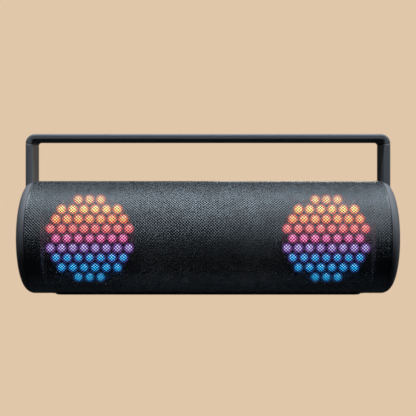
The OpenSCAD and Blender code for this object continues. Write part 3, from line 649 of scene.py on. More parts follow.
# ---- Grille ----


@dataclass(frozen=True)
class Window:
    """An opening in the grille: its outline, and its direction round the axis in degrees."""

    outline: RoundRect
    angle: float


@dataclass(frozen=True)
class GrilleSizes:
    """Sizes of the perforated sheet and of the hems round its openings."""

    pitch: float = 3.3 * MM
    hole: float = 0.90 * MM
    sheet: float = 0.45 * MM
    segments: int = 10
    keep_off: float = 1.35 * MM
    fold: float = 2 * MM
    hem: float = 2.8 * MM
    hem_proud: float = 0.3 * MM
    hem_edge: float = 0.2 * MM
    hem_lap: float = 0.05 * MM


def grille_windows(fit: float = 0.3 * MM, panel_half: float = 17 * MM,
                   panel_corner: float = 6 * MM, bay_corner: float = 4 * MM) -> tuple[Window, ...]:
    """Reads the grille's openings for the panel on top, the bay behind and the foot below.

    Args:
        fit: how much larger each opening is than the piece in it.
        panel_half: half of the panel's width round the cylinder.
        panel_corner: the panel's corner radius.
        bay_corner: the bay's corner radius.

    Returns:
        The openings.
    """
    panel, bay, foot = (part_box(name)[1] for name in ("control_panel", "port_bay", "foot_rail"))
    bay_half = (bay.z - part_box("port_bay")[0].z) / 2
    return (Window(RoundRect(panel.x, panel_half, panel_corner).grown(fit), PANEL_ANGLE),
            Window(RoundRect(bay.x, bay_half, bay_corner).grown(fit), 90),
            Window(RoundRect(foot.x, foot.y, FOOT_CORNER).grown(fit), 180))


class Grille:
    """The sheet with its real perforations, in segments along X, and its hems."""

    def __init__(self, frame: Frame, windows: Sequence[Window],
                 sizes: GrilleSizes = GrilleSizes()) -> None:
        """Keeps the sizes."""
        self.frame, self.windows, self.sizes = frame, windows, sizes

    def _on_sheet(self, x: Array, angle: Array, radius: float | Array) -> Array:
        """P = (x, radius sin a, axis + radius cos a)."""
        return np.stack([x, radius * np.sin(angle), self.frame.axis + radius * np.cos(angle)], -1)

    def _cells(self) -> tuple[Array, Array, float, float]:
        """Lays out the lattice of holes, with one more hole in the middle of each square.

        Returns:
            Column and row numbers of the holes counted in half steps, the step along X and
            the step round the axis.
        """
        s, f = self.sizes, self.frame
        around = round(2 * math.pi * f.radius / s.pitch)
        along = round(2 * f.grille_half / s.pitch)
        first = np.meshgrid(np.arange(1, 2 * along, 2), np.arange(0, 2 * around, 2))
        second = np.meshgrid(np.arange(2, 2 * along, 2), np.arange(1, 2 * around, 2))
        i = np.concatenate([first[0].ravel(), second[0].ravel()])
        j = np.concatenate([first[1].ravel(), second[1].ravel()])
        step, turn = f.grille_half / along, math.pi / around
        keep = np.ones(len(i), bool)
        for window in self.windows:
            away = j * turn - math.radians(window.angle)
            far = window.outline.distance(i * step - f.grille_half, f.radius * np.sin(away))
            keep &= (far > s.keep_off) | (np.cos(away) < 0)
        return i[keep], j[keep], step, turn

    def _segment(self, i: Array, j: Array, step: float, turn: float) -> Part:
        """Builds the cells of one segment: a diamond with an eight-sided hole and its wall.

        The diamond's corners are at half a pitch from the hole along X and round the axis, and
        its hole is hole (cos k 45, sin k 45).

        Args:
            i: columns of the holes in half steps.
            j: rows of the holes in half steps.
            step: half step along X.
            turn: half step round the axis, in radians.

        Returns:
            The mesh, with corners shared between cells.
        """
        f, s = self.frame, self.sizes
        rows = round(2 * math.pi / turn)
        ci = i[:, None] + np.array([1, 0, -1, 0])
        cj = (j[:, None] + np.array([0, 1, 0, -1])) % rows
        keys, corner = np.unique(ci * rows + cj, return_inverse=True)
        corner = corner.reshape(-1, 4)
        corners = self._on_sheet((keys // rows) * step - f.grille_half, (keys % rows) * turn,
                                 f.radius)
        a = np.arange(8) * math.pi / 4
        hx = i[:, None] * step - f.grille_half + s.hole * np.cos(a)
        ha = j[:, None] * turn + s.hole * np.sin(a) / f.radius
        outer, inner = (self._on_sheet(hx, ha, f.radius - deep) for deep in (0, s.sheet))
        base = len(corners) + np.arange(len(i))[:, None] * 8
        under = base + 8 * len(i)
        fronts = [np.concatenate([corner[:, [k, (k + 1) % 4]],
                                  base + np.array([(2 * k + 2) % 8, 2 * k + 1, 2 * k])], 1)
                  for k in range(4)]
        here, after = np.arange(8), (np.arange(8) + 1) % 8
        walls = np.stack([base + here, base + after, under + after, under + here], -1)
        verts = np.concatenate([corners, outer.reshape(-1, 3), inner.reshape(-1, 3)])
        return verts, [np.concatenate(fronts), walls.reshape(-1, 4)]

    def _edge(self, side: Side, step: float, turn: float) -> Part:
        """Fills the half diamonds at one end and folds the edge in.

        Args:
            side: the end.
            step: half step of the holes along X.
            turn: half step of the holes round the axis, in radians.

        Returns:
            The mesh of the edge.
        """
        f, s = self.frame, self.sizes
        row = np.arange(round(2 * math.pi / turn))
        a = row * turn
        end = np.full(len(row), f.grille_half)
        x = np.stack([end - step * (row % 2), end, end, end - s.fold])
        deep = np.array([0, 0, s.sheet, s.sheet])[:, None]
        points = self._on_sheet(side.value * x, a + 0 * x, f.radius - deep + 0 * x)
        return skin(points, caps=False)

    def _hem(self, window: Window) -> Part:
        """Folds a smooth hem round an opening.

        The section is (offset from the outline, height above the sheet), carried round the
        outline and laid on the cylinder by w = radius sin a.

        Args:
            window: the opening.

        Returns:
            The mesh of the hem.
        """
        f, s = self.frame, self.sizes
        rise, edge = s.hem_proud, s.hem_edge
        bevel = 0.3 * edge
        section = np.array([(0, -s.sheet), (0, rise - edge), (bevel, rise - bevel),
                            (edge, rise), (s.hem - edge, rise), (s.hem, rise - edge),
                            (s.hem, -s.hem_lap), (s.hem - edge, -s.sheet)])
        points, normals = window.outline.loop()
        flat = points + section[:, 0][:, None, None] * normals
        angle = math.radians(window.angle) + np.arcsin(flat[..., 1] / f.radius)
        return skin(self._on_sheet(flat[..., 0], angle, f.radius + section[:, 1][:, None]),
                    wrap_rows=True)

    def build(self) -> None:
        """Builds the segments, the two edges and the hems."""
        i, j, step, turn = self._cells()
        share = (i * step) / (2 * self.frame.grille_half) * self.sizes.segments
        for k in range(self.sizes.segments):
            here = np.floor(share) == k
            cells = self._segment(i[here], j[here], step, turn)
            piece = make_piece(f"grille_sheet_{k + 1}", cells, 0, outward=False)
            dress(piece, GRILLE, ROOT, "grille_metal", "grille")
        for side in Side:
            edge = self._edge(side, step, turn)
            piece = make_piece(f"grille_edge_{side.name.lower()}", edge, outward=False)
            dress(piece, HEM, ROOT, "grille_metal", "grille")
        for name, window in zip(("panel", "bay", "foot"), self.windows):
            dress(make_piece(f"grille_hem_{name}", self._hem(window)), HEM, ROOT,
                  "grille_metal", "grille")


# ---- End caps and passive radiators ----


@dataclass(frozen=True)
class EndCapSizes:
    """Sizes of an end cap's section."""

    rim: float = 10 * MM
    edge: float = 0.45 * MM
    neck: float = 62.7 * MM
    open_r: float = 52.5 * MM
    chamfer: float = 1.1 * MM
    lip_in: float = 46.8 * MM
    lip: float = 2.6 * MM
    lip_edge: float = 0.4 * MM
    gap: float = 0.7 * MM
    under: float = 60.9 * MM
    neck_edge: float = 0.2 * MM


class EndCap:
    """One end cap: a rounded rim, an open end and the lip that holds the passive radiator."""

    def __init__(self, frame: Frame, side: Side, sizes: EndCapSizes = EndCapSizes()) -> None:
        """Keeps the sizes and reads where the lip is."""
        self.frame, self.side, self.sizes = frame, side, sizes
        self.lip_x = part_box("right_end_cap")[0].x

    def _profile(self) -> Array:
        """Draws the closed section, the rim an arc of the rim's radius.

        Returns:
            Points of (x, r).
        """
        s, f = self.sizes, self.frame
        shoulder = f.grille_half + s.gap
        round_in = arc((shoulder + s.edge, f.radius - s.edge), s.edge, 180, 92, 5)
        start = math.degrees(math.asin(s.edge / s.rim))
        rim = arc((f.half - s.rim, f.radius - s.rim), s.rim, 90 - start, 0, 32)
        soft = arc((f.half - s.chamfer, s.open_r + s.chamfer), s.chamfer, 0, -90, 8)
        floor = self.lip_x + s.lip
        inner = arc((floor + s.chamfer, s.open_r - s.chamfer), s.chamfer, 90, 180, 6)
        lip = arc((floor - s.lip_edge, s.lip_in + s.lip_edge), s.lip_edge, 0, -90, 4)
        neck = np.array([(self.lip_x, s.under), (self.lip_x, s.neck),
                         (shoulder - s.neck_edge, s.neck), (shoulder, s.neck + s.neck_edge)])
        end = np.array([(self.lip_x, s.lip_in)])
        return np.concatenate([neck, round_in, rim, soft, inner, lip, end])

    def build(self) -> None:
        """Builds the cap."""
        name = self.side.name_of("end_cap")
        part = skin(lathe_x(self._profile(), self.frame.axis, self.side), wrap_rows=True)
        dress(make_piece(f"{name}_shell", part, 40), CAP, ROOT, "cap_plastic", name)


@dataclass(frozen=True)
class PassiveSizes:
    """Sizes of a passive radiator.

    The plate's section is given as stretches of (height over its face, radius) in millimetres,
    from the middle of the face outward and back along its rear to the weight.
    """

    plate: float = 36.2 * MM
    roll: float = 4.45 * MM
    gap: float = 0.4 * MM
    wall: float = 0.8 * MM
    lip: float = 1.1 * MM
    lap: float = 0.1 * MM
    hub: Outline = ((-1.6, 0.4), (-1.6, 12), (-1.7, 13.2), (-2.4, 14.6), (-2.8, 17), (-2.75, 19))
    inner_step: Outline = ((-2.3, 19.5), (-2.3, 20.5), (-2.7, 21))
    outer_step: Outline = ((-2.45, 26), (-1.95, 26.5), (-1.9, 27.5), (-2.2, 28))
    rim: Outline = ((-0.6, 33.4), (-0.12, 34.0), (0, 34.4), (-0.1, 34.9), (-0.75, 36.0),
                    (-1.2, 36.2))
    back: Outline = ((-2.8, 36.2), (-3.4, 35.2), (-3.8, 16.5))
    weight: Outline = ((-4.6, 16), (-8.4, 16), (-9.6, 15), (-9.6, 0.4))
    ribs: int = 12
    rib_start: float = 21.6
    rib_length: float = 11
    rib_rise: float = 0.55 * MM
    rib_sink: float = 0.3 * MM
    rib_half: float = 0.6 * MM
    rib_taper: float = 0.6
    rib_steps: int = 14


class PassiveRadiator:
    """One passive radiator: a rubber roll and a dished plate with ribs on its face."""

    def __init__(self, frame: Frame, side: Side, sizes: PassiveSizes = PassiveSizes()) -> None:
        """Keeps the sizes and reads the seat and the face.

        Args:
            frame: the cylinder.
            side: the radiator's end.
            sizes: the radiator.
        """
        self.frame, self.side, self.sizes = frame, side, sizes
        self.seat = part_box("right_passive_surround")[0].x
        self.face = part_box("right_passive_plate")[1].x

    def _roll(self) -> Array:
        """Draws the roll's section: a half ring with a flat lip, both of the wall's thickness.

        Returns:
            Points of (x, r).
        """
        s = self.sizes
        middle = s.plate + s.gap + s.roll
        outer = arc((middle, 0), s.roll, 180, 0, 24)[:, ::-1]
        inner = arc((middle, 0), s.roll - s.wall, 0, 180, 24)[:, ::-1]
        end = middle + s.roll + s.lip
        lip = np.array([(s.wall, middle + s.roll - s.lap), (s.wall, end), (0, end)])
        above_lip = outer[:-3]
        return np.concatenate([above_lip, lip, inner]) + np.array([self.seat, 0])

    def _plate(self) -> Array:
        """Draws the plate's section from its stretches.

        Returns:
            Points of (x, r).
        """
        s = self.sizes
        section = (*s.hub, *s.inner_step, *s.outer_step, *s.rim, *s.back, *s.weight)
        return np.array(section) * MM + np.array([self.face, 0])

    def _ribs(self) -> Part:
        """Sweeps short ribs along radii of the dish.

        The ground is the plate's face between its steps and its rim, and the top is
        ground + rise sqrt(sin(pi t)), which falls to the ground at both ends.

        Returns:
            The mesh of all the ribs.
        """
        s, f = self.sizes, self.frame
        t = np.linspace(0, 1, s.rib_steps)
        r = (s.rib_start + s.rib_length * t) * MM
        dish = np.array([s.inner_step[-1], s.outer_step[0], s.outer_step[-1], s.rim[0]]) * MM
        ground = np.interp(r, dish[:, 1], dish[:, 0])
        top = self.face + ground + s.rib_rise * np.sin(np.pi * t) ** 0.5
        low = self.face + ground - s.rib_sink
        x = np.stack([low, top, top, low], -1)
        w = s.rib_half * np.array([-1, -s.rib_taper, s.rib_taper, 1]) + 0 * x
        parts = []
        for k in range(s.ribs):
            a = 2 * math.pi * k / s.ribs
            y = r[:, None] * math.sin(a) + w * math.cos(a)
            z = f.axis + r[:, None] * math.cos(a) - w * math.sin(a)
            parts.append(skin(np.stack([self.side.value * x, y, z], -1)))
        return merge(parts)

    def build(self) -> None:
        """Builds the roll, the plate and its ribs."""
        surround = self.side.name_of("passive_surround")
        ring = skin(lathe_x(self._roll(), self.frame.axis, self.side, 192), wrap_rows=True)
        dress(make_piece(f"{surround}_roll", ring), RUBBER, ROOT, "surround_rubber", surround)
        plate = self.side.name_of("passive_plate")
        disc = skin(lathe_x(self._plate(), self.frame.axis, self.side, 192))
        dress(make_piece(f"{plate}_dish", disc, 25), PLATE, plate, "passive_plastic", plate)
        dress(make_piece(f"{plate}_ribs", self._ribs(), 25), PLATE, plate, "passive_plastic",
              plate)


# ---- Handle and foot ----


@dataclass(frozen=True)
class HandleSizes:
    """Sizes of the strap."""

    thick: float = 7.6 * MM
    edge: float = 2.4 * MM
    corner: float = 3.4 * MM
    seam: float = 0.4 * MM
    tongue_in: float = 0.8 * MM
    soft: float = 0.25 * MM
    rim: float = 10 * MM
    sink: float = 0.4 * MM
    corner_steps: int = 20
    bar_steps: int = 41
    leg_steps: int = 24
    first_step: float = 0.02


class Handle:
    """The strap handle: a top bar with round corners and two legs that sit on the end caps."""

    def __init__(self, frame: Frame, sizes: HandleSizes = HandleSizes()) -> None:
        """Keeps the sizes and reads the bar's place.

        Args:
            frame: the cylinder.
            sizes: the strap.
        """
        self.frame, self.sizes = frame, sizes
        low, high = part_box("handle_bar")
        self.top, self.out, self.half_w = high.z, high.x, (high.y - low.y) / 2
        self.low = low.z

    def _section(self, inset: float = 0.0) -> Array:
        """Draws the strap's section.

        Args:
            inset: how far it is drawn in on every side.

        Returns:
            Points of (thickness, width).
        """
        s = self.sizes
        rect = RoundRect(s.thick / 2 - inset, self.half_w - inset, s.edge)
        return rect.loop(8, 6)[0]

    def _bar(self) -> Part:
        """Sweeps the section along the bar.

        P = C(t) + u N(t) + v Y, where C runs up round a corner of the middle radius, along the
        top and down round the other corner, and N points to the outside.

        Returns:
            The mesh of the bar.
        """
        s = self.sizes
        radius = s.corner + s.thick / 2
        bend = self.out - s.thick / 2 - radius
        left = arc((-bend, self.low), radius, 180, 90, s.corner_steps)
        between = np.linspace(-1, 1, s.bar_steps)[1:-1]
        across = np.stack([between * bend, np.full(len(between), self.low + radius)], -1)
        right = arc((bend, self.low), radius, 90, 0, s.corner_steps)
        path = np.concatenate([left[:1], left, across, right, right[-1:]])
        up = np.linspace(180, 90, s.corner_steps)
        a = np.radians(np.concatenate([up[:1], up, np.full(len(between), 90), up - 90, [0]]))
        normal = np.stack([np.cos(a), np.sin(a)], -1)
        sections = np.repeat(self._section()[None], len(path), 0)
        sections[[0, -1]] = self._section(s.soft)
        path[[1, -2]] += np.array([0, s.soft])
        plane = path[:, None] + sections[..., :1] * normal[:, None]
        return skin(np.stack([plane[..., 0], sections[..., 1], plane[..., 1]], -1))

    def _leg(self, side: Side) -> Part:
        """Stands a leg on the rounded rim.

        The lowest loop follows z = axis + sqrt(R(x)^2 - y^2) with
        R(x) = radius - rim + sqrt(rim^2 - (x - shoulder)^2); the loops above blend to the top,
        where a smaller tongue crosses the seam into the bar.

        Args:
            side: the leg's end.

        Returns:
            The mesh of the leg.
        """
        s, f = self.sizes, self.frame
        section = self._section()
        middle = self.out - s.thick / 2
        x = middle + section[:, 0]
        y = section[:, 1]
        over = np.clip(x - (f.half - s.rim), 0, s.rim)
        round_r = f.radius - s.rim + np.sqrt(s.rim**2 - over**2)
        foot = f.axis + np.sqrt(round_r**2 - y**2) - s.sink
        head = self.low - s.seam
        t = np.concatenate([[0], np.linspace(s.first_step, 1, s.leg_steps)])[:, None]
        z = foot * (1 - t) + (head - s.soft) * t
        rows = np.stack([side.value * x + 0 * z, y + 0 * z, z], -1)
        tongue = []
        for inset, height in ((s.soft, head), (s.tongue_in, head),
                              (s.tongue_in, self.low + s.soft)):
            loop = self._section(inset)
            tongue.append(np.stack([side.value * (middle + loop[:, 0]), loop[:, 1],
                                    np.full(len(loop), height)], -1))
        return skin(np.concatenate([rows, np.stack(tongue)]))

    def build(self) -> None:
        """Builds the bar and both legs."""
        dress(make_piece("handle_bar_strap", self._bar(), 50), HANDLE, ROOT, "handle_plastic",
              "handle_bar")
        for side in Side:
            name = side.name_of("handle_leg")
            dress(make_piece(f"{name}_strap", self._leg(side), 50), HANDLE, ROOT,
                  "handle_plastic", name)


@dataclass(frozen=True)
class FootSizes:
    """Sizes of the foot rail and its pads.

    The sole's edge is given as (inset, height) in millimetres, from the sole outward and up.
    """

    corner: float = FOOT_CORNER
    soft: float = 0.7 * MM
    under: float = 62.9 * MM
    pad_x: float = 22 * MM
    pad_y: float = 9 * MM
    pad_corner: float = 6 * MM
    pad_depth: float = 1.9 * MM
    sole_edge: Outline = ((0.9, 0.25), (0.45, 0.05), (0.25, 0.0), (0.08, 0.1), (0, 0.35))
    treads: int = 5
    tread_half: float = 0.5 * MM
    tread_corner: float = 0.45 * MM
    tread_end: float = 2.2 * MM
    tread_top: float = 0.6 * MM
    tread_low: float = 0.02 * MM


class Foot:
    """The foot rail under the cylinder, with four rubber pads that have treads."""

    def __init__(self, frame: Frame, sizes: FootSizes = FootSizes()) -> None:
        """Keeps the sizes and reads the rail's box.

        Args:
            frame: the cylinder.
            sizes: the rail and the pads.
        """
        self.frame, self.sizes = frame, sizes
        low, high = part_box("foot_rail")
        self.outline = RoundRect(high.x, high.y, sizes.corner)
        self.low = low.z
        self.pad_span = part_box("foot_pads")[1].x - sizes.pad_x

    def _rail(self) -> Part:
        """Lofts the rail's outline from its soft lower edge up to the cylinder.

        The top follows z = axis - sqrt(under^2 - y^2).

        Returns:
            The mesh of the rail.
        """
        s, f = self.sizes, self.frame
        points, normals = self.outline.loop(9, 40)
        turn = np.radians(np.linspace(-90, 0, 7))
        rows = [np.concatenate([points - normals * s.soft * (1 - math.cos(a)),
                                np.full((len(points), 1), self.low + s.soft * (1 + math.sin(a)))],
                               1) for a in turn]
        top = f.axis - np.sqrt(s.under**2 - points[:, 1] ** 2)
        rows.append(np.concatenate([points, top[:, None]], 1))
        return skin(np.stack(rows))

    def _pads(self) -> Part:
        """Lofts a pad with a round edge, lays treads across its sole and copies it.

        Returns:
            The mesh of all four pads.
        """
        s = self.sizes
        points, normals = RoundRect(s.pad_x, s.pad_y, s.pad_corner).loop(8, 8)
        levels = (*s.sole_edge, (0, s.pad_depth / MM))
        rows = [np.concatenate([points - normals * inset * MM,
                                np.full((len(points), 1), z * MM)], 1) for inset, z in levels]
        pieces = [skin(np.stack(rows))]
        bar = RoundRect(s.tread_half, s.pad_y - s.tread_end, s.tread_corner).loop(5, 3)[0]
        z = np.array([s.tread_top, s.tread_low])[:, None] + 0 * bar[:, 0]
        for x in np.linspace(-s.pad_x, s.pad_x, s.treads + 2)[1:-1]:
            pieces.append(skin(np.stack([x + bar[:, 0] + 0 * z, bar[:, 1] + 0 * z, z], -1)))
        one, faces = merge(pieces)
        places = [self.pad_span, self.pad_span / 3]
        return merge((one + np.array([sign * x, 0, 0]), faces) for sign in (-1, 1) for x in places)

    def build(self) -> None:
        """Builds the rail and the pads."""
        dress(make_piece("foot_rail_body", self._rail()), DARK, ROOT, "foot_plastic", "foot_rail")
        dress(make_piece("foot_pads_soft", self._pads()), RUBBER, ROOT, "pad_rubber",
              "foot_pads")


# ---- Light panels ----


@dataclass(frozen=True)
class LightSizes:
    """Sizes of a light panel's cells, and the strengths and fades of its light, with the painted
    glow round each lens (spill) and over the plate (leak) that stands in for the light the cells
    cast on it.

    The field holds every cell within its reach of the middle, counted in pitches.
    """

    pitch: float = 12.45 * MM
    rows: int = 4
    field: float = 1.001 * math.sqrt(13)
    lens: float = 3.9 * MM
    lens_middle: float = 0.04
    proud: float = 1.2 * MM
    skirt: float = 1.5 * MM
    rings: int = 6
    segments: int = 24
    # Painted light: a thin glowing ring round each lens stands in for the light that the lens
    # casts on the plate
    painted_spill_gap: float = 0.06 * MM
    painted_spill_reach: float = 6.2 * MM
    painted_spill_thick: float = 0.04 * MM
    painted_spill_rings: int = 5
    strength: float = 2.1
    lens_fade: tuple[float, float, float, float] = (1.1, 0.72, 0.2, 1)
    painted_spill: float = 3.0
    painted_spill_fade: tuple[float, float, float, float] = (1, 0.08, 0, 1)
    # Painted light: a faint glow over the whole reflector plate stands in for the light of the
    # cells falling on it
    painted_leak: float = 0.15
    lens_colour: Colour = (235, 235, 235)
    plate_colour: Colour = (30, 31, 34)


class LightPanel:
    """One light panel: a domed lens in every cell, and a plate with a faint painted glow between,
    standing in for the light that the cells cast on it.
    """

    def __init__(self, side: Side, sizes: LightSizes = LightSizes()) -> None:
        """Keeps the sizes and reads the panel's middle.

        Args:
            side: the panel's end.
            sizes: the cells.
        """
        self.side, self.sizes = side, sizes
        low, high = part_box(side.name_of("light_lenses"))
        self.x, self.z = (low.x + high.x) / 2, (low.z + high.z) / 2
        self.front = low.y

    def _centres(self) -> Array:
        """Lays out the hexagonal lattice: x = (i + half in odd rows) pitch, z = j pitch cos 30.

        Returns:
            The cells' centres as (x, z) from the middle of the panel.
        """
        s = self.sizes
        n = s.rows
        i, j = np.meshgrid(np.arange(-n - 1, n + 2), np.arange(-n, n + 1))
        x = (i + (np.abs(j) % 2) / 2) * s.pitch
        z = j * s.pitch * math.sqrt(3) / 2
        near = np.hypot(x, z) < s.pitch * s.field
        return np.stack([x[near], z[near]], -1)

    def _lenses(self) -> tuple[Part, Array]:
        """Puts one dome in each cell: y = front + proud (r / lens)^2, with a short skirt.

        Returns:
            The mesh and, for each vertex, its share of the way from the middle to the edge.
        """
        s = self.sizes
        share = np.concatenate([np.linspace(s.lens_middle, 1, s.rings), [1]])
        deep = np.concatenate([s.proud * share[:-1] ** 2, [s.proud + s.skirt]])
        return self._in_cells(skin(self._rings(share * s.lens, self.front + deep)), share)

    def _rings(self, radii: Array, places: Array) -> Array:
        """Stacks rings about the Y axis: P = (r cos a, y, r sin a).

        Args:
            radii: r of each ring.
            places: y of each ring.

        Returns:
            Points as rings x segments x 3.
        """
        a = np.linspace(0, 2 * np.pi, self.sizes.segments, endpoint=False)
        r, y = radii[:, None], places[:, None]
        return np.stack([r * np.cos(a), y + 0 * a, r * np.sin(a)], -1)

    def _in_cells(self, one: Part, share: Array) -> tuple[Part, Array]:
        """Copies a mesh made of rings into every cell.

        Args:
            one: the mesh, about the origin.
            share: each ring's share of the reach.

        Returns:
            The mesh of all the copies and, for each vertex, its share.
        """
        centres = self._centres() + np.array([self.x, self.z])
        places = np.stack([centres[:, 0], 0 * centres[:, 0], centres[:, 1]], -1)
        part = merge((one[0] + place, one[1]) for place in places)
        return part, np.tile(np.repeat(share, self.sizes.segments), len(centres))

    def _spill(self) -> tuple[Part, Array]:
        """Lays a thin glowing ring round each lens, from its edge out to the spill's reach:
        painted light that the lens casts on the plate.

        Returns:
            The mesh and, for each vertex, its share of the way from the lens to the reach.
        """
        s = self.sizes
        share = np.pad(np.linspace(0, 1, s.painted_spill_rings), 1, mode="edge")
        rise = np.pad(np.full(s.painted_spill_rings, s.painted_spill_thick), 1)
        radii = s.lens + s.painted_spill_gap + share * (s.painted_spill_reach - s.lens)
        ring = self._rings(radii, self.front + s.proud - rise)
        return self._in_cells(skin(ring, wrap_rows=True), share)

    def _lit_piece(self, name: str, made: tuple[Part, Array]) -> bpy.types.Object:
        """Makes a piece that holds each vertex's share of the reach as an attribute.

        Args:
            name: the piece's name.
            made: its mesh and the shares.

        Returns:
            The piece.
        """
        piece = make_piece(name, made[0], 40)
        layer = piece.data.attributes.new("reach", "FLOAT", "POINT")
        layer.data.foreach_set("value", made[1].astype(np.float32))
        return piece

    def build(self, nodes: dict[str, bpy.types.Object]) -> None:
        """Builds the lenses and the painted spill of light round them, and dresses the plate with
        a faint painted glow.

        Args:
            nodes: the CAD nodes by name.
        """
        s = self.sizes
        half = (s.rows + 0.5) * s.pitch * math.sqrt(3) / 2
        rows = (self.z - half, self.z + half)
        lit = RowLight("lens_lit", *rows, s.strength, s.lens_colour, 0.35, fade=s.lens_fade)
        # Painted light: the ring round each lens glows with the light the lens would cast on the
        # plate
        painted_spill = RowLight("painted_spill_glow", *rows, s.painted_spill, s.plate_colour, 0.5, PAINTED_SPILL_COLOURS,
                         s.painted_spill_fade)
        # Painted light: the reflector plate glows faintly with the light of the cells falling on
        # it
        painted_leak = RowLight("reflector_painted_glow", *rows, s.painted_leak, s.plate_colour, 0.5, PAINTED_SPILL_COLOURS)
        lenses = self.side.name_of("light_lenses")
        piece = self._lit_piece(f"{lenses}_domes", self._lenses())
        dress(piece, lit, ROOT, "lens_frosted", lenses)
        reflector = self.side.name_of("light_reflector")
        dress(self._lit_piece(f"{reflector}_spill", self._spill()), painted_spill, ROOT,
              "reflector_plastic")
        refinish(nodes, painted_leak, reflector)


# ---- Controls ----


@dataclass(frozen=True)
class ButtonSizes:
    """Sizes of the panel's buttons, with heights measured from the cylinder's axis."""

    angle: float = PANEL_ANGLE
    proud: float = 0.9 * MM
    small: float = 6.2 * MM
    large: float = 7.6 * MM
    edge: float = 0.6 * MM
    dish: float = 0.25 * MM
    flange: float = 1.2 * MM
    flange_top: float = 60.2 * MM
    stem: float = 2.5 * MM
    stem_low: float = 57.2 * MM
    stroke: float = 0.55 * MM
    shoulder: float = 0.8
    raised: float = 0.16 * MM
    sunk: float = 0.2 * MM
    segments: int = 72
    top_rings: int = 12
    top_span: tuple[float, float] = (0.05, 0.96)


